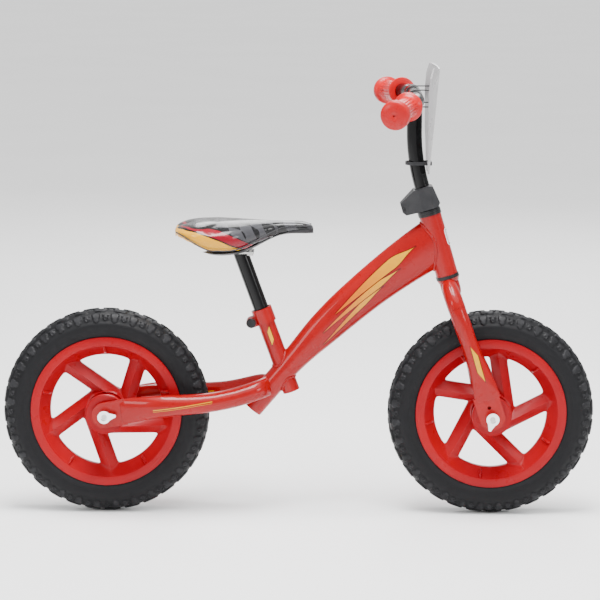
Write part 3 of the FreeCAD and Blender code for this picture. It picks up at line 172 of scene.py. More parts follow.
def sweep(path, outline, side):
    """A closed outline (across, up) carried along a path; side fixes which way is across.

    The path's direction at each point is the difference of its neighbours. "Up" is square
    to both the path and the side, so a flat path gives no twist.
    """
    along = np.gradient(path, axis=0)
    along /= np.linalg.norm(along, axis=1)[:, None]
    across = side - (along @ side)[:, None] * along
    across /= np.linalg.norm(across, axis=1)[:, None]
    up = np.cross(along, across)
    outline = np.broadcast_to(outline, (len(path),) + np.shape(outline)[-2:])
    return (path[:, None] + outline[..., :1] * across[:, None] + outline[..., 1:] * up[:, None])


def circle(radius, steps=48):
    """A closed round outline."""
    turn = np.linspace(0, 2 * math.pi, steps + 1)
    return radius * np.stack([np.cos(turn), np.sin(turn)], axis=1)


def through(stations, steps):
    """Rows of numbers joined by a smooth curve: Catmull-Rom, even in station spacing."""
    rows = np.asarray(stations, float)
    padded = np.concatenate([[2 * rows[0] - rows[1]], rows, [2 * rows[-1] - rows[-2]]])
    place = np.linspace(0, len(rows) - 1, steps)
    cell = np.minimum(place.astype(int), len(rows) - 2)
    t = (place - cell)[:, None]
    a, b, c, d = (padded[cell + shift] for shift in range(4))
    return 0.5 * (2 * b + (c - a) * t + (2 * a - 5 * b + 4 * c - d) * t ** 2
                  + (3 * b - a - 3 * c + d) * t ** 3)


def smooth(share):
    """A smooth step from 0 to 1."""
    share = np.clip(share, 0, 1)
    return share * share * (3 - 2 * share)


def across_pair(grid):
    """The grid and its mirror image in the bike's middle plane."""
    return [grid, grid * np.array([1.0, -1.0, 1.0])]


# %% [markdown]
# ## Finishes
# Real finishes are never one flat colour. Sprayed enamel has a faint orange-peel ripple and
# specks of dust, moulded plastic has flow marks and a fine grain, and rubber is dull where it
# has rubbed. Each finish here starts from the same three ingredients: a slow colour drift,
# a roughness that varies with it, and a fine bump. A small helper joins the nodes.


# %% Node helper
class Finish:
    """A material with short ways to add nodes and join them."""

    def __init__(self, name, **constants):
        self.material = bpy.data.materials.new(name)
        self.material.use_nodes = True
        self.tree = self.material.node_tree
        self.shader = self.tree.nodes["Principled BSDF"]
        self.place = self.add("ShaderNodeTexCoord").outputs["Object"]
        self.uv = None
        for socket, setting in constants.items():
            self.shader.inputs[socket.replace("_", " ")].default_value = setting

    def add(self, kind, inputs=None, **settings):
        """A node with its settings and its inputs, each a number, a colour or a socket."""
        node = self.tree.nodes.new(kind)
        for key, setting in settings.items():
            setattr(node, key, setting)
        for key, source in (inputs or {}).items():
            if isinstance(source, bpy.types.NodeSocket):
                self.tree.links.new(source, node.inputs[key])
            else:
                node.inputs[key].default_value = source
        return node

    def calc(self, operation, *terms):
        """One step of arithmetic on numbers or sockets."""
        return self.add("ShaderNodeMath", dict(enumerate(terms)), operation=operation).outputs[0]

    def noise(self, scale, detail=2.0, rough=0.5, where=None):
        """Cloudy noise at a number of cells per metre."""
        return self.add("ShaderNodeTexNoise", {
            "Vector": where or self.place, "Scale": scale, "Detail": detail,
            "Roughness": rough}).outputs["Fac"]

    def step(self, source, low, high, to_low=0.0, to_high=1.0):
        """A smooth ramp of a value between two limits."""
        node = self.add("ShaderNodeMapRange", {
            "Value": source, "From Min": low, "From Max": high,
            "To Min": to_low, "To Max": to_high}, interpolation_type="SMOOTHSTEP")
        return node.outputs["Result"]

    def mix(self, share, first, second):
        """A blend of two colours."""
        node = self.add("ShaderNodeMix", data_type="RGBA")
        for index, source in ((0, share), (6, first), (7, second)):
            if isinstance(source, bpy.types.NodeSocket):
                self.tree.links.new(source, node.inputs[index])
            else:
                node.inputs[index].default_value = source
        return node.outputs[2]

    def split(self, source=None):
        """The three parts of a place."""
        return self.add("ShaderNodeSeparateXYZ", {"Vector": source or self.place}).outputs

    def surface(self):
        """The piece's own UV place, in decimetres."""
        if self.uv is None:
            self.uv = self.add("ShaderNodeUVMap", uv_map="surface").outputs["UV"]
        return self.uv

    def bump(self, height, depth, strength=1.0):
        """Small relief, a number of metres deep."""
        node = self.add("ShaderNodeBump", {"Height": height, "Distance": depth,
                                           "Strength": strength})
        if self.shader.inputs["Normal"].is_linked:
            previous = self.shader.inputs["Normal"].links[0].from_socket
            self.tree.links.new(previous, node.inputs["Normal"])
        self.tree.links.new(node.outputs["Normal"], self.shader.inputs["Normal"])

    def paint(self, colour):
        """The base colour."""
        self.tree.links.new(colour, self.shader.inputs["Base Color"])

    def dull(self, roughness):
        """The roughness."""
        self.tree.links.new(roughness, self.shader.inputs["Roughness"])


RED = (0.29, 0.0, 0.001, 1)
DEEP_RED = (0.235, 0.0, 0.001, 1)
YELLOW = (0.62, 0.30, 0.002, 1)
ORANGE = (0.50, 0.085, 0.002, 1)
BLACK = (0.006, 0.006, 0.007, 1)


# %% [markdown]
# ### Enamel
# The frame and the fork are sprayed with red enamel under a clear coat. The ripple of the coat
# is about two millimetres wide and a few microns deep, so it only shows in the highlights.


# %% Red enamel
def enamel(name, decal=None):
    """Gloss red enamel; decal lays printed colours over the paint before the clear coat."""
    finish = Finish(name, Specular_IOR_Level=0.12, Coat_Weight=0.35, Coat_Roughness=0.03)
    drift = finish.step(finish.noise(9, 3), 0.3, 0.7)
    colour = finish.mix(drift, RED, DEEP_RED)
    specks = finish.step(finish.noise(2600, 1), 0.72, 0.8)
    colour = finish.mix(specks, colour, (0.16, 0.0, 0.001, 1))
    if decal:
        colour = decal(finish, colour)
    finish.paint(colour)
    finish.dull(finish.step(finish.noise(40, 4), 0.2, 0.8, 0.24, 0.34))
    finish.bump(finish.noise(420, 2), 0.00006)
    return finish.material


def dash(finish, colour, start, end, half, slant, tint, rim):
    """A straight printed dash between two places of the bike's middle plane.

    Its ends are slanted: the distance along it has a share of the distance aside added. The rim
    is a thin dark outline, and the dash is printed on both sides of the bike alike.
    """
    run = (end - start) * MM
    length = float(np.linalg.norm(run))
    along_way, aside_way = run / length, np.array([run[2], 0, -run[0]]) / length
    away = finish.add("ShaderNodeVectorMath", {0: finish.place, 1: tuple(start * MM)},
                      operation="SUBTRACT").outputs["Vector"]
    along = finish.add("ShaderNodeVectorMath", {0: away, 1: tuple(along_way)},
                       operation="DOT_PRODUCT").outputs["Value"]
    aside = finish.add("ShaderNodeVectorMath", {0: away, 1: tuple(aside_way)},
                       operation="DOT_PRODUCT").outputs["Value"]
    leaned = finish.calc("ADD", along, finish.calc("MULTIPLY", aside, slant))
    past_end = finish.calc("SUBTRACT", finish.calc("ABSOLUTE", finish.calc(
        "SUBTRACT", leaned, length / 2)), length / 2)
    past_side = finish.calc("SUBTRACT", finish.calc("ABSOLUTE", aside), half * MM)
    past = finish.calc("MAXIMUM", past_end, past_side)
    colour = finish.mix(finish.step(past, (rim - 0.1) * MM, rim * MM, 1.0, 0.0), colour,
                        (0.02, 0.0, 0.001, 1))
    return finish.mix(finish.step(past, -0.1 * MM, 0.0, 1.0, 0.0), colour, tint)


def fork_dash(finish, colour):
    """One upright dash on the outer side of each fork blade."""
    return dash(finish, colour, front + 64 * head_up + head_forward,
                front + 104 * head_up + head_forward, 3.6, 2.2, YELLOW, 0.9)


def frame_lines(finish, colour):
    """A short dash on the seat tube and two pinstripes along the stays."""
    colour = dash(finish, colour, on_seat(47), on_seat(68), 2.7, -1.4, YELLOW, 0.7)
    stay_start = rear + np.array([72.0, 0, 11.0])
    stay_end = rear + np.array([158.0, 0, 22.9])
    below = np.array([0, 0, 2.6])
    colour = dash(finish, colour, stay_start, stay_end, 0.6, 0.0, YELLOW, 0.15)
    return dash(finish, colour, stay_start - below, stay_end - below, 0.3, 0.0, YELLOW, 0.15)


frame_enamel = enamel("frame_enamel", frame_lines)
fork_enamel = enamel("fork_enamel", fork_dash)
print("finishes:", frame_enamel.name, fork_enamel.name)


# %% [markdown]
# ### Plastics, rubbers and metals
# The other finishes differ in colour, in gloss and in the size of their grain, so one recipe
# with a few numbers makes most of them. Steel also gets fine scratches drawn out along one
# direction, which a stretched noise gives.


# %% Plain finishes
def grained(name, light, dark, low, high, grain, depth, drift=18, **constants):
    """A material whose colour drifts between two tones and whose surface has a fine grain."""
    finish = Finish(name, **constants)
    finish.paint(finish.mix(finish.step(finish.noise(drift, 4), 0.3, 0.7), light, dark))
    finish.dull(finish.step(finish.noise(drift * 3, 5, 0.6), 0.25, 0.75, low, high))
    finish.bump(finish.noise(grain, 3, 0.6), depth)
    return finish.material


def scratched(name, light, dark, low, high, stretch, **constants):
    """Metal with fine lines along one direction over a cloudy tone."""
    finish = Finish(name, Metallic=1.0, **constants)
    lined = finish.add("ShaderNodeMapping", {"Vector": finish.place, "Scale": stretch})
    lines = finish.noise(1.0, 4, 0.65, lined.outputs["Vector"])
    finish.paint(finish.mix(finish.step(finish.noise(35, 4), 0.3, 0.7), light, dark))
    finish.dull(finish.step(lines, 0.25, 0.75, low, high))
    finish.bump(lines, 0.00002)
    return finish.material


wheel_plastic = grained("wheel_plastic", (0.30, 0.0, 0.004, 1), (0.245, 0.0, 0.004, 1),
                        0.26, 0.36, 900, 0.00003, drift=12, Specular_IOR_Level=0.18,
                        Subsurface_Weight=0.04, Subsurface_Scale=0.004)
grip_rubber = grained("grip_rubber", (0.42, 0.0, 0.003, 1), (0.35, 0.0, 0.003, 1),
                      0.24, 0.36, 1500, 0.00003, Specular_IOR_Level=0.3, Subsurface_Weight=0.06,
                      Subsurface_Scale=0.004)
black_paint = grained("black_paint", (0.004, 0.004, 0.0045, 1), (0.002, 0.002, 0.0022, 1),
                      0.10, 0.18, 500, 0.00003, Specular_IOR_Level=0.16, Coat_Weight=0.12,
                      Coat_Roughness=0.03)
black_steel = grained("black_steel", (0.012, 0.012, 0.013, 1), (0.006, 0.006, 0.007, 1),
                      0.26, 0.42, 1800, 0.00003, drift=60, Specular_IOR_Level=0.25)
black_plastic = grained("black_plastic", (0.026, 0.026, 0.028, 1), (0.016, 0.016, 0.018, 1),
                        0.40, 0.56, 2400, 0.00006, drift=45, Specular_IOR_Level=0.25)
plate_plastic = grained("plate_plastic", (0.34, 0.33, 0.335, 1), (0.28, 0.27, 0.275, 1),
                        0.26, 0.38, 700, 0.00003, Coat_Weight=0.2)
foam_grain = grained("foam_grain", (0.60, 0.52, 0.30, 1), (0.50, 0.42, 0.22, 1),
                     0.85, 0.95, 900, 0.0004)
plain_steel = scratched("plain_steel", (0.62, 0.62, 0.60, 1), (0.50, 0.50, 0.49, 1),
                        0.28, 0.46, (300, 300, 2500))
chrome = scratched("chrome", (0.86, 0.87, 0.88, 1), (0.78, 0.79, 0.80, 1),
                   0.05, 0.13, (600, 600, 600))
print("plain finishes made")

# %% [markdown]
# ### Tyre rubber
# Black rubber that has rolled along a path is greyer on its knobs than in its grooves, and the
# side walls keep the soft sheen of the mould. The height of the tread is stored on the mesh
# as the second UV number, so the material can tell a knob from a groove.

# %% Rubber with worn knobs
tyre_finish = Finish("tyre_rubber", Specular_IOR_Level=0.16)
knob = tyre_finish.split(tyre_finish.surface())[1]
worn = tyre_finish.calc("MULTIPLY", knob, tyre_finish.step(tyre_finish.noise(60, 5), 0.3, 0.7))
tyre_finish.paint(tyre_finish.mix(worn, (0.006, 0.006, 0.007, 1), (0.020, 0.020, 0.022, 1)))
tyre_finish.dull(tyre_finish.step(tyre_finish.noise(150, 4), 0.25, 0.75, 0.44, 0.62))
tyre_finish.bump(tyre_finish.noise(1400, 3), 0.00008)
tyre_rubber = tyre_finish.material
print("finish:", tyre_rubber.name)

# %% [markdown]
# ### The finish of every carried-over CAD node
# The small parts keep their CAD shape. Each takes the finish of its material slot in the
# record, so this table pairs slots with finishes.

# %% Slots and finishes
finish_of_slot = {
    "frame_paint": frame_enamel, "black_steel": black_steel, "black_paint": black_paint,
    "plain_steel": plain_steel, "chrome_caps": chrome, "black_plastic": black_plastic,
    "wheel_plastic": wheel_plastic, "tyre_rubber": tyre_rubber, "grip_rubber": grip_rubber,
    "plate_plastic": plate_plastic, "saddle_foam": foam_grain, "saddle_vinyl": black_plastic,
}
for entry in frame["record"]["subparts"]:
    node = frame["nodes"][entry["node"]]
    node.data.materials.clear()
    finish = finish_of_slot[entry["material_slot"]]
    if entry["node"].startswith("fork_"):
        finish = fork_enamel
    if entry["node"] == "stem_cover_screws":
        finish = black_steel
    node.data.materials.append(finish)

# %% [markdown]
# ## The main tube
# The main tube is a deep oval that swells from the tail to the steering head, and its centre
# line is a shallow arch. It is carried as a row of ovals along a parabola. The decal follows
# the tube, so its UV place is measured on the surface: along the arch, and round the oval
# from the middle of each side. The decal here is a plain swoosh of three tapering stripes.


# %% The arch and its ovals
TUBE_WIDTH = 33.0
TUBE_TAIL = 72.8
TUBE_BOW = 11.0
tube_end = on_head(52.8)
tube_run = tube_end - seat
TUBE_LENGTH = float(np.linalg.norm(tube_run))
tube_run = tube_run / TUBE_LENGTH
tube_rise = np.array([-tube_run[2], 0, tube_run[0]])


def arch(share):
    """Centre points: a parabola over the line from seat tube to head, straight at the tail."""
    share = np.asarray(share, float)
    on_arch = np.maximum(share, 0)
    rise = 4 * TUBE_BOW * (on_arch * (1 - on_arch) + np.minimum(share, 0))
    return seat + (share * TUBE_LENGTH)[:, None] * tube_run + rise[:, None] * tube_rise


tube_stations = np.array([
    (-TUBE_TAIL / TUBE_LENGTH, 34), (-0.1, 34), (0, 34), (0.11, 38), (0.28, 49.5), (0.43, 54.8),
    (0.58, 58), (0.78, 64.5), (1, 72)])
share = np.linspace(tube_stations[0, 0], 0.985, 120)
depth = np.interp(share, tube_stations[:, 0], tube_stations[:, 1])
depth = np.convolve(np.pad(depth, 6, mode="edge"), np.ones(13) / 13, mode="valid")
turn = np.linspace(0, 2 * math.pi, 97)
oval = np.stack([np.cos(turn)[None, :] * TUBE_WIDTH / 2 * np.ones_like(depth)[:, None],
                 np.sin(turn)[None, :] * depth[:, None] / 2], axis=-1)
centre_line = arch(share)
tube_grid = sweep(centre_line, oval, ACROSS)
run_along = np.concatenate([[0], np.cumsum(np.linalg.norm(np.diff(centre_line, axis=0), axis=1))])
tube_uv = np.stack([np.broadcast_to(run_along[:, None] / 100, tube_grid.shape[:2]),
                    np.sin(turn)[None, :] * depth[:, None] / 200], axis=-1)
print("main tube runs", round(run_along[-1], 1), "mm")


# %% A swoosh for the main tube
def swoosh(finish, colour):
    """Three stripes that start as hair lines and swell to one pointed tip.

    Along the tube t runs from 0 to 1; a stripe's centre line rises as t squared and its half
    width grows as the root of t and closes again at the tip.
    """
    along, height = finish.split(finish.surface())[:2]
    for start, end, foot, lift, width in ((1.40, 2.70, -0.15, 0.07, 0.040),
                                          (1.52, 3.05, -0.02, 0.00, 0.048),
                                          (1.85, 3.42, 0.06, 0.06, 0.085)):
        t = finish.step(along, start, end)
        middle = finish.calc("ADD", finish.calc("MULTIPLY", t, lift), foot)
        swell = finish.calc("SQRT", finish.calc("MAXIMUM", t, 0.0))
        close = finish.step(along, end - 0.45, end, 1.0, 0.0)
        half = finish.calc("MULTIPLY", finish.calc("MULTIPLY", swell, close), width)
        away = finish.calc("ABSOLUTE", finish.calc("SUBTRACT", height, middle))
        past = finish.calc("SUBTRACT", away, half)
        edge = finish.step(past, 0.010, 0.014, 1.0, 0.0)
        begun = finish.step(along, start + 0.02, start + 0.05)
        inside = finish.calc("MULTIPLY", edge, begun)
        ended = finish.step(along, end, end + 0.01, 1.0, 0.0)
        inside = finish.calc("MULTIPLY", inside, ended)
        colour = finish.mix(inside, colour, (0.10, 0.0, 0.002, 1))
        core = finish.calc("MULTIPLY", finish.step(past, -0.003, 0.0, 1.0, 0.0), inside)
        warm = finish.mix(finish.step(along, start, end), ORANGE, YELLOW)
        colour = finish.mix(core, colour, warm)
    return colour


tube_enamel = enamel("tube_enamel", swoosh)
piece("main_tube_shell", [skin(capped(tube_grid), np.concatenate(
    [tube_uv[:1], tube_uv, tube_uv[-1:]]))], "frame", tube_enamel,
    ["main_tube"])

# %% [markdown]
# ## Weld beads
# The tubes meet in brazed or welded joints, and a bead of filler runs round each one. The bead
# follows the curve where two tubes cross. For a round tube that curve has a simple formula:
# go from each point of one outline along its own tube until the distance from the other
# tube's axis equals that tube's radius. A bead is then a thin tube with a rippled radius.


# %% Crossing curves
def meet(points, direction, on_axis, axis, radius, far=False):
    """Where lines from the points along a direction cross a round tube: a quadratic."""
    side_on = direction - (direction @ axis) * axis
    offset = (points - on_axis) - ((points - on_axis) @ axis)[:, None] * axis
    a = side_on @ side_on
    b = offset @ side_on
    c = (offset ** 2).sum(axis=1) - radius ** 2
    root = np.sqrt(np.maximum(b * b - a * c, 0)) * (1 if far else -1)
    return points + ((-b + root) / a)[:, None] * direction


def bead(curve, radius=1.9, ripples=64):
    """A closed tube round a closed curve, its radius rippled like a row of weld pools."""
    loop = curve[:-1]
    along = np.roll(loop, -1, axis=0) - np.roll(loop, 1, axis=0)
    along /= np.linalg.norm(along, axis=1)[:, None]
    centre = loop.mean(axis=0)
    outward = loop - centre
    outward -= (outward * along).sum(axis=1)[:, None] * along
    outward /= np.linalg.norm(outward, axis=1)[:, None]
    other = np.cross(along, outward)
    gap = np.linalg.norm(np.roll(loop, -1, axis=0) - loop, axis=1)
    phase = np.cumsum(gap) / gap.sum() * ripples * 2 * math.pi
    thick = radius * (1 + 0.10 * np.cos(phase))
    turn = np.linspace(0, 2 * math.pi, 11)
    grid = (loop[:, None] + (thick[:, None] * np.cos(turn))[..., None] * outward[:, None]
            + (thick[:, None] * np.sin(turn))[..., None] * other[:, None])
    return np.concatenate([grid, grid[:1]])


def oval_at(place, high, wide, steps=193):
    """The outline of the main tube at one share of its length, and its direction."""
    around = np.linspace(0, 2 * math.pi, steps)
    line = arch(np.array([place - 0.01, place, place + 0.01]))
    along = (line[2] - line[0]) / np.linalg.norm(line[2] - line[0])
    up = np.cross(along, ACROSS)
    return (line[1] + np.cos(around)[:, None] * wide / 2 * ACROSS
            + np.sin(around)[:, None] * high / 2 * up), along


HEAD_RADIUS = 16.25
SEAT_RADIUS = 12.7
outline_at_head, into_head = oval_at(0.90, 69, TUBE_WIDTH - 1.5)
head_bead = meet(outline_at_head, into_head, head, head_up, HEAD_RADIUS)
around = np.linspace(0, 2 * math.pi, 193)
seat_ring = (on_seat(60) + SEAT_RADIUS * (np.cos(around)[:, None] * ACROSS
                                          + np.sin(around)[:, None] * seat_forward))


def drop_to_tube(points, direction, reach=120.0, steps=240):
    """The first place where lines from the points enter the main tube's oval.

    The lines are sampled all at once. A sample is inside where its height over the arch,
    as a share of the local half depth, and its sideways share have squares that add to one.
    """
    travel = np.linspace(0, reach, steps)
    samples = points[:, None] + travel[None, :, None] * direction
    fine = np.linspace(-0.27, 1.0, 500)
    line = arch(fine)
    high = np.interp(fine, share, depth)
    gap = np.linalg.norm(samples[:, :, None, [0, 2]] - line[None, None, :, [0, 2]], axis=3)
    nearest = gap.argmin(axis=2)
    away = gap.min(axis=2) / (high[nearest] / 2)
    sideways = samples[..., 1] / (TUBE_WIDTH / 2)
    inside = away ** 2 + sideways ** 2 < 1
    first = inside.argmax(axis=1)
    return samples[np.arange(len(points)), first]


seat_bead_top = drop_to_tube(seat_ring, -seat_up)
low_ring = seat_ring - 130 * seat_up
seat_bead_low = drop_to_tube(low_ring, seat_up)
piece("frame_welds", [skin(bead(head_bead, 2.2, 90)), skin(bead(seat_bead_top)),
                      skin(bead(seat_bead_low))], "frame", frame_enamel)

# %% [markdown]
# ## The tyres
# A tyre is one surface with two parameters: the angle round the wheel, and the place along the
# rubber's own cross-section from bead to bead. The carcass is a circle cut off at the rim, and
# the tread is a height added to it. Each block of the tread is a smooth mask in the two
# parameters: a shield shape, then a smaller one like a horseshoe, all round both shoulders,
# and two rows of blocks on the crown.

# %% Tread height
SECTION_RADIUS = 25.0
BEAD_RADIUS = 111.5
CARCASS = 22.9
REPEATS = 32
PITCH = 2 * math.pi * (TYRE_RADIUS - 4) / REPEATS


def block(t, s, at_t, at_s, half_t, half_s, power=4.0, skew=0.0):
    """A flat-topped knob: one minus a superellipse distance, with steep sides."""
    spread = half_t * (1 + skew * (s - at_s) / half_s)
    away = np.abs((t - at_t) / spread) ** power + np.abs((s - at_s) / half_s) ** power
    return smooth((1.0 - away) / 0.55)


def tread(turn_share, s):
    """Height of the tread, 0 to 1, at a share of one repeat and a distance from the crown."""
    t = (turn_share - 0.5) * PITCH
    t_half = (np.mod(turn_share + 0.5, 1.0) - 0.5) * PITCH
    away = np.abs(s)
    shield = np.maximum(block(t, away, 0, 21.5, 6.3, 6.2, 3.0, -0.12),
                        block(t, away, 0, 29.0, 4.8, 3.2, 2.2, -0.35))
    horseshoe = np.maximum(block(t_half, away, 0, 25.0, 4.3, 4.0, 2.2),
                           block(t_half, away, 0, 20.0, 5.2, 1.8, 3.0))
    notch = 1 - block(t_half, away, 0, 26.0, 1.5, 1.6, 2.0)
    horseshoe = horseshoe * (0.45 + 0.55 * notch)
    inner = np.maximum(block(t, s, 2.6, 8.0, 5.0, 4.6, 6.0, 0.12),
                       block(t, s, -2.6, -8.0, 5.0, 4.6, 6.0, -0.12))
    inner = np.maximum(inner, block(t_half, s, 3.4, -8.6, 5.2, 4.3, 6.0, 0.12))
    inner = np.maximum(inner, block(t_half, s, -3.4, 8.6, 5.2, 4.3, 6.0, -0.12))
    middle = np.maximum(block(t, s, 0, 0, 4.6, 2.6, 5.0), block(t_half, s, 0, 0, 4.6, 2.6, 5.0))
    return np.max([shield, horseshoe, inner, middle], axis=0)


# %% Tyre surface
def tyre_surface(centre):
    """The carcass circle plus tread, and a straight inner wall between the two beads."""
    bead_angle = math.acos((BEAD_RADIUS - (TYRE_RADIUS - SECTION_RADIUS)) / SECTION_RADIUS)
    shoulder = math.radians(82)
    crown = np.linspace(-shoulder, shoulder, 66)
    wall = np.linspace(shoulder, bead_angle, 30)[1:]
    section = np.concatenate([-wall[::-1], crown, wall])
    round_wheel = np.linspace(0, 2 * math.pi, REPEATS * 24 + 1)
    share_of_repeat = np.mod(round_wheel * REPEATS / (2 * math.pi) + 1e-9, 1.0)
    s = section * SECTION_RADIUS
    height = tread(share_of_repeat[:, None], s[None, :])
    limit = smooth((shoulder + 0.05 - np.abs(section)) / 0.12)[None, :]
    height = height * limit
    wall_share = smooth((np.abs(section) - 1.15) / 0.3)
    rings = 0.34 * np.maximum(np.cos(np.abs(section) * SECTION_RADIUS * 2.4), 0) ** 3
    rings = rings * smooth((np.abs(section) - 1.72) / 0.06) * smooth((2.06 - np.abs(section)) / 0.05)
    radius = CARCASS + wall_share * (SECTION_RADIUS - 0.6 - CARCASS) + rings
    radius = radius[None, :] + height * (SECTION_RADIUS - 0.05 - CARCASS)
    out = (TYRE_RADIUS - SECTION_RADIUS) + radius * np.cos(section)[None, :]
    aside = radius * np.sin(section)[None, :]
    inner_out = np.array([109.0, 106.0, 106.0, 109.0])
    inner_aside = np.array([18.4, 17.2, -17.2, -18.4])
    rows = len(round_wheel)
    out = np.concatenate([out, np.tile(inner_out, (rows, 1)), out[:, :1]], axis=1)
    aside = np.concatenate([aside, np.tile(inner_aside, (rows, 1)), aside[:, :1]], axis=1)
    height = np.concatenate([height, np.zeros((rows, 5))], axis=1)
    grid = np.stack([centre[0] + out * np.cos(round_wheel)[:, None], centre[1] + aside,
                     centre[2] + out * np.sin(round_wheel)[:, None]], axis=-1)
    uv = np.stack([np.broadcast_to(round_wheel[:, None], height.shape), height], axis=-1)
    return skin(grid, uv)


piece("rear_tyre_tread", [tyre_surface(rear)], "rear_wheel", tyre_rubber,
      ["rear_tyre"], sharp=50)
piece("front_tyre_tread", [tyre_surface(front)], "front_wheel", tyre_rubber,
      ["front_tyre"], sharp=50)

# %% [markdown]
# ## The wheels
# Each wheel is one plastic moulding. Five spokes run off the hub at a tangent, each with a roof-
# shaped section, and between them are five windows with rounded corners. One fifth of the
# wheel is a cell: a ring of surface between the window's edge and the ridges of the two
# spokes, the rim and the hub. Rays from the middle of the window cross both outlines at a
# distance with a simple formula, so the cell is a grid of angle against share of the way out.

# %% One fifth of a wheel
SPOKES = 5
SPOKE_OFFSET = 23.4
SPOKE_HALF = 12.55
WINDOW_RADIUS = 83.3
RIM_INSIDE = 98.0
HUB_RADIUS = 29.5
WEB = 4.0
fifth = 2 * math.pi / SPOKES
spoke_side = np.array([[1.0, 0.0], [math.cos(fifth), math.sin(fifth)]])
window_middle = np.array([-13.5, 59.0])


def to_line(rays, normal, offset):
    """How far each ray from the window's middle goes before a straight line."""
    slope = rays @ normal
    gap = offset - window_middle @ normal
    return np.where(slope * gap > 0, gap / np.where(np.abs(slope) < 1e-9, 1e-9, slope), 1e9)


def to_circle(rays, radius, inward):
    """How far each ray goes before a circle round the axle: from inside, or down to it."""
    half_b = rays @ window_middle
    c = window_middle @ window_middle - radius ** 2
    root = half_b ** 2 - c
    safe = np.sqrt(np.maximum(root, 0))
    reach = -half_b - safe if inward else -half_b + safe
    return np.where((root > 0) & (reach > 0), reach, 1e9)


def soft_least(distances, sharpness):
    """The smallest of several distances, with the corners rounded off."""
    stack = np.array(distances)
    return (stack ** -sharpness).sum(axis=0) ** (-1 / sharpness)


def wheel_height(points):
    """Half thickness of the moulding: web, spoke roofs, dished rim and hub root combined.

    Each term is a height over the flat web, and their fourth powers are added, which joins
    them with soft fillets.
    """
    radius = np.linalg.norm(points, axis=-1)
    ridge = np.min([np.abs(points @ normal - SPOKE_OFFSET) for normal in spoke_side], axis=0)
    tall = np.interp(radius, [HUB_RADIUS, 60, WINDOW_RADIUS], [13.0, 9.0, 6.5])
    roof = tall * np.clip(1 - ridge / (SPOKE_HALF - 1.0), 0, 1) ** 0.85
    dish = 14.6 * np.clip((radius - WINDOW_RADIUS + 1.0) / (RIM_INSIDE - WINDOW_RADIUS), 0, 1) ** 1.25
    root = 12.0 * np.exp(-np.maximum(radius - HUB_RADIUS, 0) / 2.2)
    angle = np.arctan2(points[..., 1], points[..., 0])
    across = (angle - math.radians(108)) * radius
    gusset = 5.5 * np.exp(-(across / 1.5) ** 4) * smooth((radius - 84.5) / 4)
    height = (roof ** 4 + dish ** 4 + root ** 4) ** 0.25
    return WEB + height + gusset * smooth((RIM_INSIDE + 1 - radius) / 5)


rays_at = np.linspace(-math.pi, math.pi, 260)
rays = np.stack([np.cos(rays_at), np.sin(rays_at)], axis=1)
window_edge = soft_least([
    to_line(rays, spoke_side[0], SPOKE_OFFSET - SPOKE_HALF),
    to_line(rays, spoke_side[1], SPOKE_OFFSET + SPOKE_HALF),
    to_circle(rays, WINDOW_RADIUS, False)], 14.0)
cell_edge = np.min([
    to_line(rays, spoke_side[0], SPOKE_OFFSET), to_line(rays, spoke_side[1], SPOKE_OFFSET),
    to_circle(rays, RIM_INSIDE, False), to_circle(rays, HUB_RADIUS - 0.6, True)], axis=0)
out_share = np.concatenate([[0, 0.02, 0.05, 0.09], np.linspace(0.14, 1.0, 24)])
reach = window_edge[:, None] + out_share[None, :] * (cell_edge - window_edge)[:, None]
cell = window_middle + reach[..., None] * rays[:, None]
cell_height = wheel_height(cell)
edge_round = 1.4 * (1 - np.sqrt(np.clip(1 - (1 - np.clip(out_share / 0.09, 0, 1)) ** 2, 0, 1)))
cell_height = cell_height - edge_round[None, :]
print("window edge", window_edge.min().round(1), "to", window_edge.max().round(1), "mm away")


# %% The whole moulding
def on_wheel(flat, height, centre, turn):
    """Points of the wheel's own plane, turned about the axle and put in place."""
    angle = math.radians(turn)
    x = flat[..., 0] * math.cos(angle) - flat[..., 1] * math.sin(angle)
    z = flat[..., 0] * math.sin(angle) + flat[..., 1] * math.cos(angle)
    return np.stack([centre[0] + x, centre[1] + height, centre[2] + z], axis=-1)


def moulding(centre, turn):
    """Five cells, a rim and a hub barrel, each a closed skin, as one piece."""
    closed_flat = np.concatenate([cell[:, :1], cell, cell[:, -1:]], axis=1)
    zero = np.zeros((len(cell), 1))
    closed_height = np.concatenate([zero, cell_height, zero], axis=1)
    both_flat = np.concatenate([closed_flat, closed_flat[:, ::-1]], axis=1)
    both_height = np.concatenate([closed_height, -closed_height[:, ::-1]], axis=1)
    skins = [skin(on_wheel(both_flat, both_height, centre, turn + index * 360 / SPOKES))
             for index in range(SPOKES)]
    side = [(RIM_INSIDE - 1.6, 17.6), (97.4, 18.9), (98.4, 20.4), (100.0, 20.75), (109.8, 20.75),
            (111.2, 20.2), (111.45, 19.2), (111.45, 17.9), (105.0, 17.7), (104.6, 17.2)]
    rim = np.array(side + [(out, -high) for out, high in reversed(side)] + side[:1])
    skins.append(skin(lathe(rim, centre, ACROSS, np.array([1.0, 0, 0]), 240)))
    lip = [(11.0, 38.9), (27.0, 38.9), (27.4, 38.6), (27.8, 38.6), (28.2, 38.9), (28.7, 38.8),
           (29.4, 38.1), (29.5, 35.0), (28.6, 34.2), (25.0, 32.0), (25.0, 20.0), (28.0, 15.0),
           (29.5, 11.0)]
    barrel = [(11.0, 32.0), (11.0, 38.9)] + lip[1:]
    hub = np.array(barrel + [(out, -high) for out, high in reversed(barrel)] + barrel[:1])
    skins.append(skin(lathe(hub, centre, ACROSS, np.array([1.0, 0, 0]), 120)))
    return skins


REAR_TURN = -17.0
FRONT_TURN = 9.3
piece("rear_wheel_moulding", moulding(rear, REAR_TURN), "rear_wheel", wheel_plastic,
      ["rear_wheel"], sharp=30)
piece("front_wheel_moulding", moulding(front, FRONT_TURN), "front_wheel",
      wheel_plastic, ["front_wheel"], sharp=30)

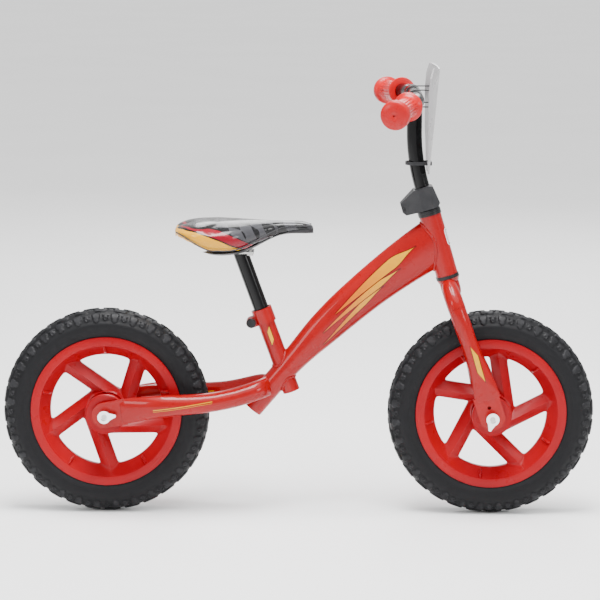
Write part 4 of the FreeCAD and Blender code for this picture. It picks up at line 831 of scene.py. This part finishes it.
# %% [markdown]
# ## The saddle
# The saddle is a foam pad under glossy printed vinyl, pulled down over a plastic base. Its
# cross-section is a superellipse, broad at the rear and narrow at the nose, and the skirt
# rises towards the nose. The pad starts a little thin and is then inflated as cloth, which
# tightens it the way stretched vinyl does. The base stays visible inside the skirt.

# %% Cross-sections of the pad
cover_low, cover_high = (np.array(corner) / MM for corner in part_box("saddle_cover"))
SADDLE_LENGTH = cover_high[0] - cover_low[0]
SADDLE_HALF = (cover_high[1] - cover_low[1]) / 2
SADDLE_TOP = cover_high[2]
SKIRT_LOW = cover_low[2]
NOSE_HALF = 17.0
SKIRT_NOSE_RISE = 30.0
SKIRT_REAR_RISE = 24.0
LIP = 9.0
TRAY_RISE = 9.6


def saddle_shape(share, inset):
    """Half width, skirt height and top height at each share of the length from the rear.

    The width blends from rear to nose with a smooth step. Both ends close with the arc of a
    circle, and the skirt line rises with a smooth step at each end.
    """
    body = 1 - smooth((share - 0.35) / 0.43)
    half = NOSE_HALF + (SADDLE_HALF - NOSE_HALF) * body
    skirt = (SKIRT_LOW + SKIRT_NOSE_RISE * smooth((share - 0.4) / 0.45)
             + SKIRT_REAR_RISE * smooth((0.3 - share) / 0.3))
    top = np.full_like(share, SADDLE_TOP)
    for distance, span, least in ((share, 0.22, 0.22), (1 - share, 0.12, 0.3)):
        bulge = np.sqrt(1 - (1 - np.minimum(distance / span, 1)) ** 2)
        half = half * (least + (1 - least) * bulge)
        top = skirt + (top - skirt) * (0.5 + 0.5 * bulge)
    return half - inset, skirt + inset * 0.3, top - inset


def saddle_outline(half, skirt, top):
    """Closed outlines: a superellipse over the lip, then up and across under the base."""
    middle, rise = (top + skirt) / 2, (top - skirt) / 2
    turn = np.linspace(-0.5 * math.pi, 1.5 * math.pi, 90)
    across = np.sign(np.cos(turn)) * np.abs(np.cos(turn)) ** 0.55
    upward = np.sign(np.sin(turn)) * np.abs(np.sin(turn)) ** 0.7
    y = half[:, None] * across
    z = middle[:, None] + rise[:, None] * upward
    rim = np.maximum(half - LIP, 2.0)[:, None]
    ceiling = np.minimum(skirt + TRAY_RISE, middle)[:, None]
    under = (upward[None, :] < 0) & (np.abs(y) < rim)
    z = np.where(under, ceiling, z)
    return y, z


def saddle_grid(inset):
    """The pad's points, row by row from the rear to the nose."""
    share = np.concatenate([[0, 0.006, 0.016], np.linspace(0.03, 0.97, 64), [0.985, 0.995, 1]])
    y, z = saddle_outline(*saddle_shape(share, inset))
    x = cover_low[0] + inset + share * (SADDLE_LENGTH - 2 * inset)
    return np.stack([np.broadcast_to(x[:, None], y.shape), y, z], axis=-1)


print("saddle", round(SADDLE_LENGTH, 1), "mm long and", round(2 * SADDLE_HALF, 1), "mm wide")

# %% [markdown]
# ### Printed vinyl
# The print is laid out in the pad's own length and height: a yellow side panel that thins
# towards the nose, a dark red band over it, and black with grey checks on top. Vinyl is a
# smooth film over foam, so its relief is only a fine leather grain under a clear gloss.

# %% Vinyl print
vinyl_finish = Finish("saddle_vinyl_print", Specular_IOR_Level=0.15, Coat_Weight=0.45,
                      Coat_Roughness=0.05)
saddle_x, saddle_y, saddle_z = vinyl_finish.split()
aside = vinyl_finish.calc("ABSOLUTE", saddle_y)
wave = vinyl_finish.calc("MULTIPLY", vinyl_finish.noise(26, 1), 0.006)
level = vinyl_finish.calc("ADD", saddle_z, wave)
yellow_edge = vinyl_finish.step(saddle_x, -0.165, -0.048, 0.431, 0.393)
red_edge = vinyl_finish.step(saddle_x, -0.140, -0.030, 0.4342, 0.398)
below_yellow = vinyl_finish.calc("SUBTRACT", yellow_edge, level)
below_red = vinyl_finish.calc("SUBTRACT", red_edge, level)
slant = vinyl_finish.calc("ADD", saddle_x, vinyl_finish.calc("MULTIPLY", saddle_z, 0.5))
check_place = vinyl_finish.add("ShaderNodeCombineXYZ", {"X": slant, "Y": aside, "Z": 0.0})
checks = vinyl_finish.add("ShaderNodeTexChecker", {
    "Vector": check_place.outputs[0], "Scale": 62.0, "Color1": (0.006, 0.006, 0.007, 1),
    "Color2": (0.050, 0.050, 0.056, 1)}).outputs["Color"]
fade = vinyl_finish.step(vinyl_finish.noise(60, 2), 0.35, 0.65)
vinyl = vinyl_finish.mix(vinyl_finish.calc("MULTIPLY", fade, 0.25), checks, (0.02, 0.02, 0.02, 1))
vinyl = vinyl_finish.mix(vinyl_finish.step(below_red, -0.0016, -0.0010), vinyl,
                         (0.004, 0.004, 0.004, 1))
vinyl = vinyl_finish.mix(vinyl_finish.step(below_red, 0.0, 0.0005), vinyl, (0.20, 0.0, 0.010, 1))
vinyl = vinyl_finish.mix(vinyl_finish.step(below_yellow, -0.0022, -0.0016), vinyl,
                         (0.004, 0.004, 0.004, 1))
vinyl = vinyl_finish.mix(vinyl_finish.step(below_yellow, 0.0, 0.0005), vinyl,
                         vinyl_finish.mix(vinyl_finish.noise(20, 2), (0.66, 0.33, 0.006, 1),
                                          (0.58, 0.26, 0.005, 1)))
vinyl_finish.paint(vinyl)
vinyl_finish.dull(vinyl_finish.step(vinyl_finish.noise(120, 4), 0.3, 0.7, 0.16, 0.28))
vinyl_finish.bump(vinyl_finish.noise(1300, 3), 0.00005)
saddle_print = vinyl_finish.material
print("finish:", saddle_print.name)

# %% Inflating the pad
PAD_INSET = 1.6
PUFF_LIMIT = 2.6


def inflated(thing, voxel=4.0, pressure=4.0, limit=PUFF_LIMIT):
    """The piece remeshed, blown up as cloth for 20 frames, and no point moved past a limit.

    The lip and the underside are pinned where they are glued to the base.
    """
    scene = bpy.context.scene
    remesh = thing.modifiers.new("even_mesh", "REMESH")
    remesh.mode = "VOXEL"
    remesh.voxel_size = voxel * MM
    even = bpy.data.meshes.new_from_object(
        thing.evaluated_get(bpy.context.evaluated_depsgraph_get()))
    thing.modifiers.clear()
    finish = thing.data.materials[0]
    thing.data = even
    even.materials.clear()
    even.materials.append(finish)
    start = np.empty(len(even.vertices) * 3, np.float32)
    even.vertices.foreach_get("co", start)
    start = start.reshape(-1, 3)
    share = (start[:, 0] / MM - cover_low[0]) / SADDLE_LENGTH
    _, skirt, _ = saddle_shape(np.clip(share, 0, 1), 0.0)
    held = np.flatnonzero(start[:, 2] / MM < skirt + TRAY_RISE + 1.5)
    group = thing.vertex_groups.new(name="held")
    group.add(held.tolist(), 1.0, "REPLACE")
    cloth = thing.modifiers.new("air", "CLOTH")
    cloth.settings.vertex_group_mass = "held"
    cloth.settings.use_pressure = True
    cloth.settings.uniform_pressure_force = pressure
    cloth.settings.effector_weights.gravity = 0
    for frame_number in range(1, 21):
        scene.frame_set(frame_number)
    blown = thing.evaluated_get(bpy.context.evaluated_depsgraph_get()).to_mesh()
    end = np.empty_like(start).ravel()
    blown.vertices.foreach_get("co", end)
    move = end.reshape(-1, 3) - start
    far = np.linalg.norm(move, axis=1, keepdims=True)
    cap = limit * MM
    move = move * np.where(far > cap, cap / np.maximum(far, 1e-9), 1.0)
    thing.modifiers.clear()
    thing.vertex_groups.clear()
    even.vertices.foreach_set("co", (start + move).astype(np.float32).ravel())
    even.update()
    scene.frame_set(1)
    print("inflated by up to", round(float(far.max()) / MM, 1), "mm, kept to", limit, "mm")


pad = piece("saddle_pad", [skin(capped(saddle_grid(PAD_INSET)))], "saddle", saddle_print,
            ["saddle_cover", "saddle_foam"], sharp=60)
inflated(pad)
pad.data.shade_smooth()
softer = pad.modifiers.new("softer", "SUBSURF")
softer.levels = 1
softer.render_levels = 1

# %% [markdown]
# ### A piped welt
# The vinyl's lower edge is finished with a thin cord. Its path is the skirt line of the pad's
# own shape function, so it follows the pad exactly, and its radius alternates a little from
# point to point, which reads as stitching.

# %% Welt along the skirt
def welt(sign):
    """A piped seam low on one side of the pad: a thin round cord with a stitched ripple."""
    place = np.linspace(0.03, 0.975, 260)
    half, skirt, _ = saddle_shape(place, PAD_INSET)
    path = np.stack([cover_low[0] + place * SADDLE_LENGTH, sign * (half + 0.2),
                     skirt + 10.5], axis=-1)
    thick = 0.9 + 0.12 * np.cos(np.arange(len(place)) * math.pi)
    return sweep(path, circle(1.0, 12)[None] * thick[:, None, None], ACROSS)


piece("saddle_welt", [skin(capped(welt(1.0))), skin(capped(welt(-1.0)))], "saddle",
      black_plastic, sharp=60)

# %% [markdown]
# ## Grips
# A child's grip has a big round flange at each end so that small hands cannot slide off. The
# middle is fluted, and the outer end is a dome with a pin-hole. It is a turned shape whose
# radius also ripples round the bar, so the radius is a function of both parameters.

# %% Two grips
BAR_BEND = math.radians(16.3)
BAR_TILT = math.radians(14.0)
BAR_MIDDLE = 80.0
GRIP_INNER = 128.0
crossbar_high = np.array(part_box("handlebar_crossbar")[1]) / MM
BAR_RADIUS = 11.1
BAR_X = crossbar_high[0] - BAR_RADIUS
BAR_Z = crossbar_high[2] - BAR_RADIUS


def on_bar(out):
    """A point on the left half of the crossbar, a distance out from the middle plane."""
    back = max(out - BAR_MIDDLE, 0) * math.tan(BAR_BEND)
    return np.array([BAR_X - back * math.cos(BAR_TILT), out, BAR_Z - back * math.sin(BAR_TILT)])


bar_out = on_bar(200.0) - on_bar(120.0)
bar_out /= np.linalg.norm(bar_out)
bar_side = np.cross(bar_out, np.array([0, 0, 1.0]))
bar_side /= np.linalg.norm(bar_side)
profile = np.array([
    (11.3, 0.4), (18.6, 0.0), (20.2, 0.5), (20.8, 1.8), (20.8, 3.9), (20.3, 5.2), (18.6, 6.4),
    (16.2, 8.6), (15.2, 11.0), (14.9, 13.5), (14.8, 20.0), (14.8, 30.0), (14.8, 40.0),
    (14.8, 50.0), (14.8, 57.0), (14.9, 62.0), (15.2, 65.0), (16.4, 67.8), (18.8, 70.2),
    (20.4, 71.4), (20.8, 72.6), (20.8, 74.2), (20.2, 74.7), (20.2, 75.3), (20.8, 75.8),
    (20.8, 77.2), (20.2, 77.7), (20.2, 78.3), (20.7, 78.8), (20.6, 79.8), (19.6, 81.3),
    (17.2, 82.6), (13.0, 83.7), (8.0, 84.2), (2.2, 84.35), (1.8, 84.1), (1.6, 82.0), (0.01, 82.0)])
flute_share = smooth((profile[:, 1] - 9.5) / 5) * smooth((66 - profile[:, 1]) / 5)
grip_turn = np.linspace(0, 2 * math.pi, 193)
ripple = 1.0 * np.abs(np.sin(9 * grip_turn)) ** 0.7
radius = profile[:, :1] - flute_share[:, None] * (1.2 - ripple[None, :])
grip_origin = on_bar(GRIP_INNER)
bar_other = np.cross(bar_out, bar_side)
grip_grid = (grip_origin + profile[:, 1, None, None] * bar_out
             + radius[..., None] * (np.cos(grip_turn)[:, None] * bar_side
                                    + np.sin(grip_turn)[:, None] * bar_other)[None])
grip_grid = np.concatenate([grip_grid, np.broadcast_to(
    grip_origin + 82.0 * bar_out, grip_grid[:1].shape)])
inside = grip_origin + profile[:1, 1, None, None] * bar_out + np.zeros_like(grip_grid[:1])
grip_grid = np.concatenate([inside, grip_grid])
for side_name, grid in zip(("left", "right"), across_pair(grip_grid)):
    piece(f"grip_{side_name}_rubber", [skin(grid)], "handlebar", grip_rubber,
          [f"grip_{side_name}"], sharp=40)

# %% [markdown]
# ## Painted shade in the axle caps, fork crown and badge
# Small things that the eye looks for: a black plug in each chrome axle cap's bore, which paints
# the shade inside the hole, a plain badge on the head tube, and the oval mark on each fork end,
# made as a low raised ring. The fork's crown is a turned sleeve with a rounded shoulder down to
# each blade, because the blades of a bent-tube fork flow into the crown without a step.

# %% Black plugs as painted shade in the axle caps' bores
def socket(centre, side, sign):
    """A shallow dished plug inside a cap's bore, dark to paint the shade of the hole, as a turned outline."""
    out = sign * side
    dish = np.array([(0.01, out - 5.2), (3.2, out - 5.2), (3.7, out - 4.6), (4.4, out - 0.7),
                     (5.1, out - 0.5), (5.15, out - 1.2), (5.15, out - 6.5), (0.01, out - 6.5),
                     (0.01, out - 5.2)])
    dish[:, 1] *= sign
    return skin(lathe(dish, centre, ACROSS, np.array([1.0, 0, 0]), 48))


CAP_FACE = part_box("rear_axle_nuts")[1].y / MM
# The black plugs stand for the shade inside the axle caps' bores.
piece("rear_axle_bore_shade", [socket(rear, CAP_FACE, 1.0), socket(rear, CAP_FACE, -1.0)],
      "frame", black_plastic)
piece("front_axle_bore_shade", [socket(front, CAP_FACE, 1.0), socket(front, CAP_FACE, -1.0)],
      "fork", black_plastic)

# %% Fork crown and dropout rings
CROWN_UP = -11.2
DROPOUT_FACE = 48.2
RING_HALF_LENGTH = 4.0
RING_HALF_HEIGHT = 1.5
RING_BACK = 10
RING_ABOVE = 26
crown_profile = np.array([(12.75, CROWN_UP), (13.6, CROWN_UP - 0.2), (14.2, CROWN_UP - 1.0),
                          (14.4, CROWN_UP - 6), (14.2, CROWN_UP - 14), (13.2, CROWN_UP - 19),
                          (12.75, CROWN_UP - 20), (12.75, CROWN_UP)])
shoulder_rows = through([(159, -53.5, 39.5, 12.9), (168, -56.8, 36.2, 12.95),
                         (177, -60.1, 30.0, 12.6), (185, -62.8, 21.0, 11.8),
                         (191, -64.2, 11.0, 10.6), (194, -64.8, 4.0, 9.4)], 60)
shoulder_path = front + shoulder_rows[:, [1, 2, 0]]
shoulder = sweep(shoulder_path, circle(1.0)[None] * shoulder_rows[:, 3, None, None],
                 np.array([1.0, 0, 0]))
ring_turn = np.linspace(0, 2 * math.pi, 65)
ring_flat = np.stack([RING_HALF_LENGTH * np.cos(ring_turn),
                        RING_HALF_HEIGHT * np.sin(ring_turn)], axis=1)
tilt = math.radians(15)
ring_line = np.stack([
    front[0] - RING_BACK + ring_flat[:, 0] * math.cos(tilt) - ring_flat[:, 1] * math.sin(tilt),
    np.full(65, DROPOUT_FACE),
    front[2] + RING_ABOVE + ring_flat[:, 0] * math.sin(tilt) + ring_flat[:, 1] * math.cos(tilt)],
    axis=-1)
dropout_rings = [skin(grid) for grid in across_pair(bead(ring_line, 0.7, 0))]
piece("fork_crown_shell", [skin(lathe(crown_profile, head, head_up, ACROSS))]
      + [skin(capped(grid)) for grid in across_pair(shoulder)] + dropout_rings, "fork", fork_enamel,
      ["fork_crown"], sharp=50)

# %% Head badge
BADGE_HALF_ANGLE = 0.62
BADGE_HALF_HEIGHT = 13.0
badge_angle = np.linspace(-1, 1, 33)
badge_height = np.linspace(-1, 1, 33)
spread_angle, spread_height = np.meshgrid(badge_angle, badge_height)
narrow = np.sqrt(np.clip(1 - np.maximum(np.abs(spread_height) - 0.6, 0) ** 2 / 0.16 * 0.7, 0, 1))
turned_by = spread_angle * BADGE_HALF_ANGLE * narrow
edge = np.clip(1 - np.maximum(np.abs(spread_angle), np.abs(spread_height)), 0, 1)
lift = HEAD_RADIUS + 0.1 + 0.8 * smooth(edge / 0.10)


def badge_points(out):
    """Points on the head tube's front, an angle round it, a height along it, a radius out."""
    return (head + (55.0 + spread_height * BADGE_HALF_HEIGHT)[..., None] * head_up
            + (out * np.cos(turned_by))[..., None] * head_forward
            + (out * np.sin(turned_by))[..., None] * ACROSS)


badge_grid = badge_points(lift)
badge_back = badge_points(np.full_like(lift, HEAD_RADIUS + 0.1))
badge_finish = Finish("badge_plate", Coat_Weight=0.4)
badge_u, badge_v = badge_finish.split(badge_finish.surface())[:2]
far_out = badge_finish.calc("MAXIMUM", badge_finish.calc("ABSOLUTE", badge_u),
                            badge_finish.calc("ABSOLUTE", badge_v))
badge_colour = badge_finish.mix(badge_finish.step(far_out, 0.70, 0.74), (0.75, 0.75, 0.75, 1), BLACK)
badge_colour = badge_finish.mix(badge_finish.step(far_out, 0.86, 0.88), badge_colour,
                                (0.70, 0.70, 0.71, 1))
badge_finish.paint(badge_colour)
badge_finish.dull(badge_finish.step(badge_finish.noise(300, 3), 0.3, 0.7, 0.2, 0.35))
badge_uv = np.stack([spread_angle, spread_height], axis=-1)
piece("head_badge", [skin(badge_grid, badge_uv), skin(badge_back, badge_uv)], "frame",
      badge_finish.material, sharp=50)

# %% [markdown]
# ## The floor, the light and the camera
# The bike stands on a plain pale floor. Large soft lights above and beside it give long
# highlights on the tubes, and the camera looks square at the right side from a little above.

# %% Stage
floor_mesh = bpy.data.meshes.new("floor")
HALF_FLOOR = 60.0
floor_mesh.from_pydata([(-HALF_FLOOR, -HALF_FLOOR, 0), (HALF_FLOOR, -HALF_FLOOR, 0),
                        (HALF_FLOOR, HALF_FLOOR, 0), (-HALF_FLOOR, HALF_FLOOR, 0)], [],
                       [(0, 1, 2, 3)])
floor = bpy.data.objects.new("floor", floor_mesh)
bpy.context.scene.collection.objects.link(floor)
floor_mesh.materials.append(grained("floor_paper", (0.90, 0.90, 0.90, 1),
                                    (0.88, 0.88, 0.88, 1), 0.75, 0.85, 300, 0.00003, drift=2))


def soft_light(name, place, target, size, power, colour=(1, 1, 1)):
    """A large square light that faces a target."""
    lamp = bpy.data.lights.new(name, "AREA")
    lamp.shape = "SQUARE"
    lamp.size = size
    lamp.energy = power
    lamp.color = colour
    holder = bpy.data.objects.new(name, lamp)
    bpy.context.scene.collection.objects.link(holder)
    holder.location = place
    holder.rotation_euler = (Vector(target) - Vector(place)).to_track_quat("-Z", "Y").to_euler()
    return holder


middle = (0.0, 0.0, 0.32)
soft_light("top_light", (0.0, -0.35, 2.3), middle, 1.2, 120)
soft_light("left_light", (-2.4, -2.2, 1.4), middle, 1.0, 26)
soft_light("right_light", (2.6, -1.8, 1.3), middle, 0.9, 24)
soft_light("back_light", (0.3, 2.6, 1.9), middle, 1.6, 40)
sun = bpy.data.lights.new("sky_glow", "SUN")
sun.energy = 2.4
sun.angle = math.radians(70)
glow = bpy.data.objects.new("sky_glow", sun)
bpy.context.scene.collection.objects.link(glow)
glow.rotation_euler = (math.radians(18), math.radians(8), 0)

world = bpy.data.worlds.new("studio")
bpy.context.scene.world = world
world.use_nodes = True
sky = world.node_tree.nodes["Background"]
sky.inputs["Color"].default_value = (1, 1, 1, 1)
sky.inputs["Strength"].default_value = 0.75

camera = bpy.data.objects.new("camera", bpy.data.cameras.new("camera"))
bpy.context.scene.collection.objects.link(camera)
camera.data.sensor_width = 36.0
camera.data.lens = 157.48
right = Vector((0.99997624, 0.00419299, 0.0054722))
upward = Vector((-0.00608936, 0.16508487, 0.98626057))
backward = right.cross(upward)
turned = Matrix((right, upward, backward)).transposed()
camera.matrix_world = Matrix.Translation((0.01372, -3.81120, 0.95598)) @ turned.to_4x4()
bpy.context.scene.camera = camera
print("camera at", tuple(round(c, 3) for c in camera.matrix_world.translation))
